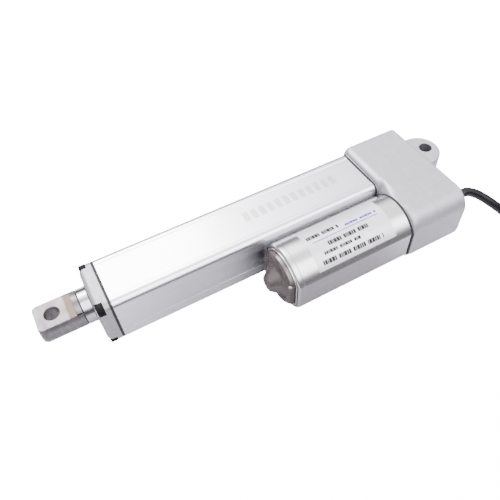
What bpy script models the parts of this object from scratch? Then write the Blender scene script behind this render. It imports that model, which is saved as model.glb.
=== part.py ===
"""Parallel-drive linear actuator, retracted, lying on its side with its motor beside the tube.

Axis frame used below: X runs along the rod towards the rod end, with 0 at the front cap's joint face,
Y runs from the rod axis towards the motor, Z is up, and the rod axis is at Y = Z = 0. The empty
rod_axis carries that frame, so that the part's own origin is at its bottom centre.
"""

import math

import bmesh
import bpy
from mathutils import Vector

MM = 0.001
GAP = 0.3

# ---------------------------------------------------------------- driving dimensions, millimetres
STROKE = 150.0

TUBE_LENGTH = 168.9
TUBE_FAR_Y = -15.7
TUBE_NEAR_Y = 20.3
TUBE_HALF_Z = 17.0
TUBE_CORNER_R = 4.4
TUBE_BORE_R = 12.6
POCKET_DEPTH_Y = 18.2
POCKET_HALF_Z = 5.0
FACE_RECESS = 0.3
GASKET = 0.8

ROD_R = 10.4
ROD_BORE_R = 7.9
ROD_JOINT_X = 14.2
ROD_STEP_X = 17.75
ROD_TIP_X = 39.0
ROD_EYE_X = 29.7
FLAT_HALF_Z = 5.8
EYE_R = 4.1

CAP_BACK_X = GASKET / 2 + GAP
CAP_FRONT_X = 8.4
CAP_EDGE = 2.2
CAP_SCREW_Z = 13.5
CAP_SCREW_YS = (-12.2, 16.8)
CAP_SEAT_X = 3.6

SCREW_HEAD_R = 3.5
SCREW_HEAD_H = 4.0
SCREW_SHANK_R = 1.8
SCREW_HOLE_R = SCREW_SHANK_R + GAP

HOUSING_HALF_Z = 20.0
HOUSING_FAR_Y = -17.4
HOUSING_NEAR_Y = 56.3
HOUSING_FAR_R = 3.8
HOUSING_NEAR_R = 12.5
HOUSING_MOTOR_R = 20.0
HOUSING_VALLEY_ANGLES = (84, 88, 92, 268, 272, 276)
HOUSING_FRONT_X = -TUBE_LENGTH - GASKET / 2 - GAP
HOUSING_FILLET_X = 6.0
PARTING_X = -187.3
COVER_BACK_X = -208.8
CAVITY_BACK_X = -200.0

EAR_HALF_Z = 7.65
EAR_R = 13.3
EAR_CENTRE_X = -220.7
EAR_EYE_X = -225.4

MODULE = 1.0
PRESSURE_ANGLE = math.radians(25)
BACKLASH = 0.24
PINION_TEETH = 12
IDLER_TEETH = 29
SCREW_GEAR_TEETH = 23
CENTRE_SPREAD = 0.1
IDLER_Y = MODULE * (PINION_TEETH + SCREW_GEAR_TEETH) / 2 + CENTRE_SPREAD
MOTOR_Y = IDLER_Y + MODULE * (PINION_TEETH + IDLER_TEETH) / 2 + CENTRE_SPREAD
IDLER_GEAR_X = (-196.8, -190.8)
IDLER_PINION_X = (-191.3, -181.4)
MOTOR_PINION_X = (-197.2, -190.4)
SCREW_GEAR_X = (-187.4, -181.8)
BEARING_X = (-180.6, -173.6)
BEARING_R = 11.0
BEARING_BORE_R = 4.0

MOTOR_CAN_R = 19.8
MOTOR_FLAT = MOTOR_Y - TUBE_NEAR_Y - GAP
BELL_SCREW_R = 1.15
BELL_SCREW_Z = 7.4
BELL_SCREW_INSET_Y = 2.0
CAN_WALL = 1.6
CAN_FRONT_X = -92.4
CAN_BACK_X = -TUBE_LENGTH + GASKET / 2 + GAP
MOTOR_SHAFT_R = 1.6

SCREW_R = 5.0
SCREW_FRONT_X = -2.2
SCREW_BACK_X = -189.6
NUT_BACK_X = -164.5
NUT_LENGTH = 12.0

GROMMET_Y = 45.0
GROMMET_Z = 8.5
GROMMET_FLANGE_R = 7.4
GROMMET_NECK_R = 4.6
GROMMET_NOSE_X = -214.4

CORD_R = 2.8
COIL_X = -295.9
COIL_Y = 69.2
COIL_INNER_R = 25.2
COIL_OUTER_R = 36.8
COIL_LIFT = 1.1
END_R = (COIL_INNER_R + COIL_OUTER_R) / 2
COIL_HEIGHT = 11.3
TIE_THICKNESS = 0.7
TIE_WIDTH = 4.0
PLUG_SIZE = (20.0, 11.0, 6.4)

AXIS_X = -(ROD_TIP_X + EAR_CENTRE_X - EAR_R) / 2
AXIS_Y = -(HOUSING_FAR_Y + HOUSING_NEAR_Y) / 2
AXIS_Z = HOUSING_HALF_Z

# ---------------------------------------------------------------- scene, materials and placing


def clear_scene():
    for obj in list(bpy.data.objects):
        bpy.data.objects.remove(obj, do_unlink=True)


def new_collection(name):
    collection = bpy.data.collections.new(name)
    bpy.context.scene.collection.children.link(collection)
    return collection


def make_material(name, color, roughness, metallic):
    material = bpy.data.materials.new(name)
    material.use_nodes = True
    shader = material.node_tree.nodes["Principled BSDF"]
    shader.inputs["Base Color"].default_value = (*color, 1.0)
    shader.inputs["Roughness"].default_value = roughness
    shader.inputs["Metallic"].default_value = metallic
    return material


def make_empty(name, parent, place):
    """An empty on one of the actuator's axes, at a point of the axis frame."""
    empty = bpy.data.objects.new(name, None)
    PARTS.objects.link(empty)
    empty.parent = parent
    empty.location = Vector(place) * MM
    return empty


def place_part(obj, name, kind, axis, turn=(0.0, math.pi / 2, 0.0)):
    """Names a part, gives it its own material and hangs it on an axis empty."""
    obj.name = name
    obj.data.name = name
    obj.parent = axis
    obj.rotation_euler = turn
    material = make_material(name, *FINISH[kind])
    obj.data.materials.clear()
    obj.data.materials.append(material)
    return obj


def link_new(mesh, collection=None):
    obj = bpy.data.objects.new(mesh.name, mesh)
    (collection or PARTS).objects.link(obj)
    return obj


# ---------------------------------------------------------------- outlines in the (y, z) plane


def arc(cy, cz, radius, start, end, count):
    """Points of an arc, both ends included. Angles are in degrees from +Y towards +Z."""
    points = []
    for i in range(count):
        angle = math.radians(start + (end - start) * i / (count - 1))
        points.append((cy + radius * math.cos(angle), cz + radius * math.sin(angle)))
    return points


def circle(cy, cz, radius, count=24):
    return arc(cy, cz, radius, 0, 360 - 360 / count, count)


def rounded_box(low_y, high_y, low_z, high_z, low_r, high_r, count=6):
    """A rectangle whose corners are rounded with low_r on the low-Y side and high_r on the other."""
    return (
        arc(high_y - high_r, high_z - high_r, high_r, 0, 90, count)
        + arc(low_y + low_r, high_z - low_r, low_r, 90, 180, count)
        + arc(low_y + low_r, low_z + low_r, low_r, 180, 270, count)
        + arc(high_y - high_r, low_z + high_r, high_r, 270, 360, count)
    )


def section_outline():
    """The outline that the front cap, its gasket and the tube share."""
    return rounded_box(
        TUBE_FAR_Y, TUBE_NEAR_Y, -TUBE_HALF_Z, TUBE_HALF_Z, TUBE_CORNER_R, TUBE_CORNER_R
    )


def tube_outline():
    """The extrusion's outline, with a shallow flat recess along each of its four faces."""
    inset = TUBE_CORNER_R + 1.1
    side = 7.0
    corners = section_outline()
    count = len(corners) // 4
    near_top, far_top = corners[:count], corners[count : 2 * count]
    far_low, near_low = corners[2 * count : 3 * count], corners[3 * count :]

    def dip(start, end, normal):
        (ay, az), (by, bz) = start, end
        ny, nz = normal
        length = math.hypot(by - ay, bz - az)
        step = FACE_RECESS / length
        inner = []
        for t in (step, 1 - step):
            point = (ay + (by - ay) * t - ny * FACE_RECESS, az + (bz - az) * t - nz * FACE_RECESS)
            inner.append(point)
        return [start] + inner + [end]

    top = dip((TUBE_NEAR_Y - inset, TUBE_HALF_Z), (TUBE_FAR_Y + inset, TUBE_HALF_Z), (0, 1))
    far = dip((TUBE_FAR_Y, side), (TUBE_FAR_Y, -side), (-1, 0))
    low = dip((TUBE_FAR_Y + inset, -TUBE_HALF_Z), (TUBE_NEAR_Y - inset, -TUBE_HALF_Z), (0, -1))
    near = dip((TUBE_NEAR_Y, -side), (TUBE_NEAR_Y, side), (1, 0))
    return near_top + top + far_top + far + far_low + low + near_low + near


def bore_outline(bore_r=TUBE_BORE_R, depth_y=POCKET_DEPTH_Y, half_z=POCKET_HALF_Z, count=28):
    """The round bore with a flat pocket on the motor's side, for the sensor board and the nut's key."""
    angle = math.degrees(math.asin(half_z / bore_r))
    return arc(0, 0, bore_r, angle, 360 - angle, count) + [(depth_y, -half_z), (depth_y, half_z)]


def double_d(radius, flat, count=13):
    """A circle cut by two flats that face -Y and +Y, centred on the motor's axis."""
    angle = math.degrees(math.acos(flat / radius))
    return arc(0, 0, radius, angle, 180 - angle, count) + arc(
        0, 0, radius, 180 + angle, 360 - angle, count
    )


def shifted(outline, dy, dz=0.0):
    return [(y + dy, z + dz) for y, z in outline]


def reach(outline, centre, angle):
    """How far a ray from centre travels at an angle before it leaves the outline for good."""
    cy, cz = centre
    dy, dz = math.cos(angle), math.sin(angle)
    best = 0.0
    for (ay, az), (by, bz) in zip(outline, outline[1:] + outline[:1]):
        ey, ez = by - ay, bz - az
        det = ey * dz - ez * dy
        if abs(det) < 1e-12:
            continue
        py, pz = ay - cy, az - cz
        along = (ey * pz - ez * py) / det
        share = (dy * pz - dz * py) / det
        if -1e-9 <= share <= 1 + 1e-9:
            best = max(best, along)
    return best


def gear_outline(teeth, phase=0.0):
    """An involute spur gear's outline. A tooth is centred on the angle phase, in degrees."""
    pitch_r = MODULE * teeth / 2
    base_r = pitch_r * math.cos(PRESSURE_ANGLE)
    root_r = pitch_r - 1.2 * MODULE
    tip_r = pitch_r + 0.85 * MODULE
    half_pitch = (math.pi * MODULE / 2 - BACKLASH) / 2 / pitch_r
    pitch_roll = math.tan(PRESSURE_ANGLE) - PRESSURE_ANGLE

    def half_width(radius):
        if radius <= base_r:
            return half_pitch + pitch_roll
        angle = math.acos(base_r / radius)
        return half_pitch + pitch_roll - (math.tan(angle) - angle)

    flank = [root_r, pitch_r, tip_r]
    points = []
    for tooth in range(teeth):
        centre = math.radians(phase) + 2 * math.pi * tooth / teeth
        side = [(r, centre - half_width(r)) for r in flank]
        side += [(r, centre + half_width(r)) for r in reversed(flank)]
        points += [(r * math.cos(a), r * math.sin(a)) for r, a in side]
    return points


# ---------------------------------------------------------------- solids


def mesh_from_curve(curve_obj):
    """Turns a filled curve into a closed mesh with its caps welded, and drops the curve."""
    bpy.context.view_layer.update()
    depsgraph = bpy.context.evaluated_depsgraph_get()
    mesh = bpy.data.meshes.new_from_object(curve_obj.evaluated_get(depsgraph))
    curve = curve_obj.data
    bpy.data.objects.remove(curve_obj, do_unlink=True)
    bpy.data.curves.remove(curve)
    bm = bmesh.new()
    bm.from_mesh(mesh)
    bmesh.ops.remove_doubles(bm, verts=bm.verts, dist=1e-6)
    bmesh.ops.recalc_face_normals(bm, faces=bm.faces)
    bm.to_mesh(mesh)
    bm.free()
    return mesh


def extruded(name, kind, loops, low_x, high_x, axis, at=(0.0, 0.0)):
    """Extrudes (y, z) loops along X. The first loop is the outline and the rest are holes."""
    curve = bpy.data.curves.new(name, "CURVE")
    curve.dimensions = "2D"
    curve.fill_mode = "BOTH"
    curve.extrude = (high_x - low_x) / 2 * MM
    for loop in loops:
        spline = curve.splines.new("POLY")
        spline.points.add(len(loop) - 1)
        for point, (y, z) in zip(spline.points, loop):
            point.co = (-z * MM, y * MM, 0.0, 1.0)
        spline.use_cyclic_u = True
    obj = bpy.data.objects.new(name, curve)
    PARTS.objects.link(obj)
    part = link_new(mesh_from_curve(obj))
    place_part(part, name, kind, axis)
    part.location = ((low_x + high_x) / 2 * MM, at[0] * MM, at[1] * MM)
    return part


def turned(name, kind, profile, axis, at=(0.0, 0.0, 0.0), steps=20, ring=False):
    """Turns an (x, r) profile round X. It runs down the outer side, from high X to low X."""
    mesh = bpy.data.meshes.new(name)
    edges = [(i, i + 1) for i in range(len(profile) - 1)]
    if ring:
        edges.append((len(profile) - 1, 0))
    mesh.from_pydata([(r * MM, 0.0, x * MM) for x, r in profile], edges, [])
    part = place_part(link_new(mesh), name, kind, axis)
    part.location = Vector(at) * MM
    screw = part.modifiers.new("turn", "SCREW")
    screw.steps = steps
    screw.render_steps = steps
    screw.use_merge_vertices = True
    screw.merge_threshold = 1e-6
    return part


def ring_profile(low_x, high_x, inner_r, outer_r):
    return [(high_x, inner_r), (high_x, outer_r), (low_x, outer_r), (low_x, inner_r)]


def rod_profile(low_x, high_x, radius, chamfer=0.0):
    if not chamfer:
        return [(high_x, 0.0), (high_x, radius), (low_x, radius), (low_x, 0.0)]
    return [
        (high_x, 0.0),
        (high_x, radius - chamfer),
        (high_x - chamfer, radius),
        (low_x, radius),
        (low_x, 0.0),
    ]


def box_mesh(name, low, high):
    """A box between two corners of the axis frame, as a mesh in metres."""
    mesh = bpy.data.meshes.new(name)
    bm = bmesh.new()
    bmesh.ops.create_cube(bm, size=1.0)
    low, high = Vector(low) * MM, Vector(high) * MM
    bmesh.ops.scale(bm, vec=high - low, verts=bm.verts)
    bmesh.ops.translate(bm, vec=(low + high) / 2, verts=bm.verts)
    bm.to_mesh(mesh)
    bm.free()
    return mesh


def box(name, kind, low, high, axis):
    return place_part(link_new(box_mesh(name, low, high)), name, kind, axis, (0.0, 0.0, 0.0))


def boolean(part, cutter, operation="DIFFERENCE"):
    modifier = part.modifiers.new(cutter.name, "BOOLEAN")
    modifier.operation = operation
    modifier.solver = "EXACT"
    modifier.object = cutter
    return part


def as_cutter(obj):
    obj.hide_render = True
    obj.display_type = "WIRE"
    for collection in list(obj.users_collection):
        collection.objects.unlink(obj)
    CUTTERS.objects.link(obj)
    return obj


def cylinder_cutter(name, axis, low, high, radius, at=(0.0, 0.0), along="X", count=24):
    """A cylinder along X at (y, z), or along Z at (x, y), between two values on its own axis."""
    mesh = bpy.data.meshes.new(name)
    bm = bmesh.new()
    bmesh.ops.create_cone(
        bm,
        cap_ends=True,
        segments=count,
        radius1=radius * MM,
        radius2=radius * MM,
        depth=(high - low) * MM,
    )
    bm.to_mesh(mesh)
    bm.free()
    obj = as_cutter(link_new(mesh))
    obj.parent = axis
    middle = (low + high) / 2
    if along == "X":
        obj.rotation_euler = (0.0, math.pi / 2, 0.0)
        obj.location = Vector((middle, at[0], at[1])) * MM
    else:
        obj.location = Vector((at[0], at[1], middle)) * MM
    return obj


def drill(part, name, axis, low, high, radius, at=(0.0, 0.0), along="X", count=24):
    return boolean(part, cylinder_cutter(name, axis, low, high, radius, at, along, count))


def box_cutter(name, axis, low, high):
    obj = as_cutter(link_new(box_mesh(name, low, high)))
    obj.parent = axis
    return obj


def bevel(part, width, segments, angle=40.0):
    modifier = part.modifiers.new("edges", "BEVEL")
    modifier.width = width * MM
    modifier.segments = segments
    modifier.limit_method = "ANGLE"
    modifier.angle_limit = math.radians(angle)
    return part


def cap_screw(name, axis, seat_x, at, length, facing=1):
    """A socket head cap screw. Its head stands on seat_x and faces +X, or -X when facing is -1."""
    socket_r, socket_depth = 1.6, 2.2
    profile = [
        (SCREW_HEAD_H - socket_depth, 0.0),
        (SCREW_HEAD_H - socket_depth, socket_r),
        (SCREW_HEAD_H, socket_r),
        (SCREW_HEAD_H, SCREW_HEAD_R),
        (GAP, SCREW_HEAD_R),
        (GAP, SCREW_SHANK_R),
        (-length, SCREW_SHANK_R),
        (-length, 0.0),
    ]
    part = turned(name, "black_screw", profile, axis, (seat_x, *at), steps=10)
    if facing < 0:
        part.rotation_euler = (0.0, -math.pi / 2, 0.0)
    return part


# ---------------------------------------------------------------- tube and front end


def build_tube(axis):
    ports = [circle(y, z, SCREW_HOLE_R, 10) for y in CAP_SCREW_YS for z in (-CAP_SCREW_Z, CAP_SCREW_Z)]
    low_x = -TUBE_LENGTH + GASKET / 2 + GAP
    high_x = -GASKET / 2 - GAP
    extruded("outer_tube", "tube", [tube_outline(), bore_outline()] + ports, low_x, high_x, axis)


def build_front_cap(axis):
    centre_y = (TUBE_FAR_Y + TUBE_NEAR_Y) / 2
    cap = extruded("front_cap", "casting", [section_outline()], CAP_BACK_X, CAP_FRONT_X, axis)
    bm = bmesh.new()
    bm.from_mesh(cap.data)
    high = max(v.co.z for v in bm.verts)
    rim = [e for e in bm.edges if all(v.co.z > high - 1e-6 for v in e.verts) and len(e.link_faces) == 2]
    rim = [e for e in rim if abs(e.calc_face_angle()) > 1.0]
    bmesh.ops.bevel(bm, geom=rim, offset=CAP_EDGE * MM, segments=3, profile=0.5, affect="EDGES")
    bm.to_mesh(cap.data)
    bm.free()
    drill(cap, "cap_bore", axis, -1, 6.9, TUBE_BORE_R - GAP, count=32)
    drill(cap, "cap_lip", axis, 6, 12, 11.5, count=32)
    for y in CAP_SCREW_YS:
        for z in (-CAP_SCREW_Z, CAP_SCREW_Z):
            side = "far" if y < centre_y else "near"
            level = "low" if z < 0 else "top"
            drill(cap, f"seat_{side}_{level}", axis, CAP_SEAT_X, 12, 3.9, (y, z), count=16)
            drill(cap, f"hole_{side}_{level}", axis, -1, 6, SCREW_HOLE_R, (y, z), count=12)
            cap_screw(f"front_cap_screw_{side}_{level}", axis, CAP_SEAT_X, (y, z), 14.0)
    holes = [circle(y, z, SCREW_HOLE_R, 10) for y in CAP_SCREW_YS for z in (-CAP_SCREW_Z, CAP_SCREW_Z)]
    loops = [section_outline(), circle(0, 0, TUBE_BORE_R, 28)] + holes
    extruded("front_gasket", "gasket", loops, -GASKET / 2, GASKET / 2, axis)
    guide = ring_profile(-1.9, 3.2, ROD_R + GAP, TUBE_BORE_R - 2 * GAP)
    turned("rod_guide_bush", "bronze", guide, axis, steps=32, ring=True)
    wiper = [
        (9.0, ROD_R + GAP),
        (9.0, 11.2),
        (6.6, 11.2),
        (6.6, 12.0),
        (3.5, 12.0),
        (3.5, ROD_R + GAP),
    ]
    turned("rod_wiper_seal", "seal", wiper, axis, steps=32, ring=True)


def build_rod(axis):
    back_x = NUT_BACK_X + NUT_LENGTH + GAP
    front_x = ROD_JOINT_X - GAP / 2
    wall = [
        (front_x, ROD_BORE_R),
        (front_x, ROD_R),
        (back_x, ROD_R),
        (back_x, ROD_BORE_R),
    ]
    turned("rod_tube", "chromed_rod", wall, axis, steps=32, ring=True)
    joint_x = ROD_JOINT_X + GAP / 2
    profile = [
        (ROD_TIP_X, 0.0),
        (ROD_TIP_X, ROD_R - 2.4),
        (ROD_TIP_X - 0.8, ROD_R - 0.8),
        (ROD_TIP_X - 2.4, ROD_R),
        (joint_x + 0.5, ROD_R),
        (joint_x, ROD_R - 0.5),
        (joint_x, ROD_BORE_R - GAP),
        (2.5, ROD_BORE_R - GAP),
        (2.5, SCREW_R + 1.2),
        (joint_x - 4, SCREW_R + 1.2),
        (joint_x - 4, 0.0),
    ]
    end = turned("rod_end", "rod_end", profile, axis, steps=32)
    far = ROD_R + 1
    for sign, level in ((1, "top"), (-1, "low")):
        low_z, high_z = sorted((sign * FLAT_HALF_Z, sign * far))
        boolean(end, box_cutter(f"flat_{level}", axis, (ROD_STEP_X, -far, low_z), (45, far, high_z)))
    drill(end, "rod_eye", axis, -far, far, EYE_R, (ROD_EYE_X, 0), along="Z")


# ---------------------------------------------------------------- nut, screw and sensors


def build_nut(axis):
    front_x = NUT_BACK_X + NUT_LENGTH
    key_y, key_half_z = 13.6, POCKET_HALF_Z - 2 * GAP
    outline = bore_outline(TUBE_BORE_R - GAP, key_y, key_half_z, 24)
    bore = circle(0, 0, SCREW_R + GAP, 20)
    nut = extruded("drive_nut", "acetal", [outline, bore], NUT_BACK_X, front_x, axis)
    hub = ring_profile(front_x - 1, front_x + 6, SCREW_R + GAP, ROD_BORE_R - GAP)
    collar = as_cutter(turned("nut_hub", "acetal", hub, axis, steps=20, ring=True))
    boolean(nut, collar, "UNION")
    middle_x = NUT_BACK_X + NUT_LENGTH / 2
    magnet_r, depth = 2.0, 2.0
    box_low = (middle_x - magnet_r - GAP, key_y - depth - GAP, -magnet_r - GAP)
    box_high = (middle_x + magnet_r + GAP, key_y + 1, magnet_r + GAP)
    boolean(nut, box_cutter("magnet_pocket", axis, box_low, box_high))
    magnet_low = (middle_x - magnet_r, key_y - depth, -magnet_r)
    magnet_high = (middle_x + magnet_r, key_y - GAP, magnet_r)
    box("nut_magnet", "magnet", magnet_low, magnet_high, axis)


def build_lead_screw(axis):
    shoulder_x = BEARING_X[1] + GAP
    seat_r = BEARING_BORE_R - GAP
    profile = [
        (SCREW_FRONT_X, 0.0),
        (SCREW_FRONT_X, SCREW_R - 1),
        (SCREW_FRONT_X - 1, SCREW_R),
        (shoulder_x, SCREW_R),
        (shoulder_x, seat_r),
        (SCREW_BACK_X, seat_r),
        (SCREW_BACK_X, 0.0),
    ]
    turned("lead_screw", "steel", profile, axis, steps=20)
    loops = [gear_outline(SCREW_GEAR_TEETH), circle(0, 0, BEARING_BORE_R, 16)]
    extruded("screw_gear", "sintered_steel", loops, *SCREW_GEAR_X, axis)
    lock = ring_profile(SCREW_GEAR_X[0] - 1.5, SCREW_GEAR_X[0] - GAP, BEARING_BORE_R, 6.2)
    turned("screw_gear_lock_ring", "spring_steel", lock, axis, steps=16, ring=True)


def build_screw_bearing(housing_axis, screw_axis):
    low_x, high_x = BEARING_X
    outer = [
        (high_x, 8.6),
        (high_x, BEARING_R),
        (low_x, BEARING_R),
        (low_x, 8.6),
        (low_x + 0.8, 8.2),
        (high_x - 0.8, 8.2),
    ]
    turned("screw_bearing_outer_ring", "bearing", outer, housing_axis, steps=24, ring=True)
    inner = ring_profile(low_x, high_x, BEARING_BORE_R, 6.0)
    turned("screw_bearing_inner_ring", "bearing", inner, screw_axis, steps=20, ring=True)
    shield = ring_profile(low_x + 1.2, high_x - 1.2, 6.4, 7.8)
    turned("screw_bearing_ball_cage", "brass", shield, housing_axis, steps=20, ring=True)


def build_limit_sensors(axis):
    face_y = POCKET_DEPTH_Y - 1.3
    half_z = POCKET_HALF_Z - 0.7
    low_x, high_x = -TUBE_LENGTH + 4, -4.0
    box("limit_sensor_board", "board", (low_x, face_y, -half_z), (high_x, face_y + 1, half_z), axis)
    nut_middle = NUT_BACK_X + NUT_LENGTH / 2
    for name, middle_x in (("rear", nut_middle), ("front", nut_middle + STROKE)):
        low = (middle_x - 4, face_y - 2.2, -1.6)
        high = (middle_x + 4, face_y - GAP, 1.6)
        box(f"limit_sensor_{name}", "sensor", low, high, axis)


# ---------------------------------------------------------------- gearbox


def seam_outline():
    """The joint face of the gearbox: the tube's outline and the motor's, as one outline."""
    tube = section_outline()
    motor = shifted(double_d(HOUSING_MOTOR_R, HOUSING_NEAR_Y - MOTOR_Y), MOTOR_Y)
    return tube, motor


def block_outline():
    """The gearbox's section, with small corners on the tube's side and large ones on the motor's."""
    low_y, high_y, half_z = HOUSING_FAR_Y, HOUSING_NEAR_Y, HOUSING_HALF_Z
    return rounded_box(low_y, high_y, -half_z, half_z, HOUSING_FAR_R, HOUSING_NEAR_R, 7)


def loft_angles(centre, outlines):
    """Every angle at which a corner of an outline lies, seen from the centre, without near doubles."""
    cy, cz = centre
    angles = sorted(
        math.atan2(z - cz, y - cy) % (2 * math.pi) for outline in outlines for y, z in outline
    )
    kept = [angles[0]]
    for angle in angles[1:]:
        if angle - kept[-1] > math.radians(1.2):
            kept.append(angle)
    return kept


def build_housing(axis):
    """Front casting, lofted from the tube-and-motor joint face to a plain rounded block."""
    centre = (TUBE_NEAR_Y + 1.2, 0.0)
    tube, motor = seam_outline()
    block = block_outline()
    angles = loft_angles(centre, (tube, motor, block))
    angles = sorted(set(angles + [math.radians(angle) for angle in HOUSING_VALLEY_ANGLES]))
    rings = []
    for share in (0.0, 0.3, 0.6, 0.85, 1.0):
        x = HOUSING_FRONT_X - HOUSING_FILLET_X * (1 - math.sqrt(1 - share * share))
        rings.append((x, share))
    rings.append((PARTING_X + GAP / 2, 1.0))
    bm = bmesh.new()
    loops = []
    for x, share in rings:
        loop = []
        for angle in angles:
            near = max(reach(tube, centre, angle), reach(motor, centre, angle))
            far = reach(block, centre, angle)
            r = near + (far - near) * share
            y, z = centre[0] + r * math.cos(angle), centre[1] + r * math.sin(angle)
            loop.append(bm.verts.new(Vector((x, y, z)) * MM))
        loops.append(loop)
    for a, b in zip(loops, loops[1:]):
        for i in range(len(angles)):
            j = (i + 1) % len(angles)
            bm.faces.new((a[i], a[j], b[j], b[i]))
    for loop, x in ((loops[0], rings[0][0]), (loops[-1], rings[-1][0])):
        middle = bm.verts.new(Vector((x, *centre)) * MM)
        for i in range(len(angles)):
            bm.faces.new((loop[i], loop[(i + 1) % len(angles)], middle))
    bmesh.ops.triangulate(bm, faces=[f for f in bm.faces if len(f.verts) > 3])
    bmesh.ops.recalc_face_normals(bm, faces=bm.faces)
    mesh = bpy.data.meshes.new("gearbox_housing")
    bm.to_mesh(mesh)
    bm.free()
    housing = place_part(link_new(mesh), "gearbox_housing", "casting", axis, (0.0, 0.0, 0.0))
    back = PARTING_X - 2
    drill(housing, "screw_hole", axis, -175, -165, 6.5)
    drill(housing, "bearing_seat", axis, back, BEARING_X[1] + GAP, BEARING_R + GAP)
    drill(housing, "screw_gear_pocket", axis, back, BEARING_X[0] - GAP, 13.2)
    drill(housing, "idler_pocket", axis, back, BEARING_X[0] - GAP, 8.0, (IDLER_Y, 0))
    drill(housing, "idler_axle_seat", axis, -183, -176, 2.3, (IDLER_Y, 0), count=12)
    drill(housing, "motor_pocket", axis, back, -165, 5.4, (MOTOR_Y, 0))
    for name, (y, z) in COVER_SCREWS.items():
        drill(housing, f"thread_{name}", axis, back, PARTING_X + 9, SCREW_HOLE_R, (y, z), count=10)
    y = CAP_SCREW_YS[1]
    seat_x = HOUSING_FRONT_X - 6
    for z, level in ((CAP_SCREW_Z, "top"), (-CAP_SCREW_Z, "low")):
        drill(housing, f"tube_seat_{level}", axis, back, seat_x, 3.9, (y, z), count=12)
        drill(housing, f"tube_hole_{level}", axis, back, -165, SCREW_HOLE_R, (y, z), count=10)
        cap_screw(f"tube_screw_{level}", axis, seat_x, (y, z), 18.0, facing=-1)


def build_rear_gasket(axis):
    """One flat gasket behind the tube and the motor, with an opening for each."""
    tube, motor = seam_outline()
    centre = (TUBE_NEAR_Y + 1.2, 0.0)
    angles = loft_angles(centre, (tube, motor))
    outline = []
    for angle in angles:
        r = max(reach(tube, centre, angle), reach(motor, centre, angle))
        outline.append((centre[0] + r * math.cos(angle), centre[1] + r * math.sin(angle)))
    holes = [circle(y, z, SCREW_HOLE_R, 10) for y in CAP_SCREW_YS for z in (-CAP_SCREW_Z, CAP_SCREW_Z)]
    loops = [outline, circle(0, 0, 8.0), circle(MOTOR_Y, 0, 15.0)] + holes
    middle = -TUBE_LENGTH
    extruded("rear_gasket", "gasket", loops, middle - GASKET / 2, middle + GASKET / 2, axis)


def ear_outline():
    """The rear mounting ear in (x, y): a round nose with parallel sides that run into the cover."""
    nose = []
    for i in range(17):
        angle = math.radians(90 + 180 * i / 16)
        nose.append((EAR_CENTRE_X + EAR_R * math.cos(angle), EAR_R * math.sin(angle)))
    root_x = COVER_BACK_X + 2.5
    return nose + [(root_x, -EAR_R - 0.6), (root_x, EAR_R + 0.6)]


def build_cover(axis):
    front = PARTING_X - GAP / 2
    cover = extruded("gearbox_cover", "casting", [block_outline()], COVER_BACK_X, front, axis)
    curve = bpy.data.curves.new("ear", "CURVE")
    curve.dimensions = "2D"
    curve.fill_mode = "BOTH"
    curve.extrude = EAR_HALF_Z * MM
    outline = ear_outline()
    spline = curve.splines.new("POLY")
    spline.points.add(len(outline) - 1)
    for point, (x, y) in zip(spline.points, outline):
        point.co = (x * MM, y * MM, 0.0, 1.0)
    spline.use_cyclic_u = True
    curve_obj = bpy.data.objects.new("ear", curve)
    CUTTERS.objects.link(curve_obj)
    ear = as_cutter(link_new(mesh_from_curve(curve_obj), CUTTERS))
    ear.parent = axis
    boolean(cover, ear, "UNION")
    drill(cover, "ear_eye", axis, -10, 10, EYE_R, (EAR_EYE_X, 0), along="Z")
    front += 2
    drill(cover, "screw_end_pocket", axis, -191, front, 12.4)
    drill(cover, "idler_gear_pocket", axis, CAVITY_BACK_X, front, 16.3, (IDLER_Y, 0), count=32)
    drill(cover, "motor_pinion_pocket", axis, CAVITY_BACK_X, front, 8.6, (MOTOR_Y, 0))
    drill(cover, "idler_axle_hole", axis, -204, -198, 2.3, (IDLER_Y, 0), count=12)
    drill(cover, "cord_hole", axis, -210, front, GROMMET_NECK_R + GAP, (GROMMET_Y, GROMMET_Z), count=16)
    for name, (y, z) in COVER_SCREWS.items():
        drill(cover, f"seat_{name}", axis, -210, COVER_BACK_X + 4.4, 3.9, (y, z), count=12)
        drill(cover, f"through_{name}", axis, -210, front, SCREW_HOLE_R, (y, z), count=10)
        cap_screw(f"cover_screw_{name}", axis, COVER_BACK_X + 4.4, (y, z), 20.0, facing=-1)


def build_idler(housing_axis, idler_axis):
    """The compound gear and the fixed axle that it turns on."""
    bore = circle(0, 0, 2.3, 12)
    half_tooth = 180 / PINION_TEETH
    large = [gear_outline(IDLER_TEETH), bore]
    gear = extruded("compound_gear", "sintered_steel", large, *IDLER_GEAR_X, idler_axis)
    small = [gear_outline(PINION_TEETH, half_tooth), bore]
    pinion = extruded("compound_pinion", "sintered_steel", small, *IDLER_PINION_X, idler_axis)
    boolean(gear, as_cutter(pinion), "UNION")
    axle = rod_profile(-203.6, -176.4, 2.0)
    turned("compound_gear_axle", "steel", axle, housing_axis, (0, IDLER_Y, 0), steps=12)


# ---------------------------------------------------------------- motor


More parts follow.
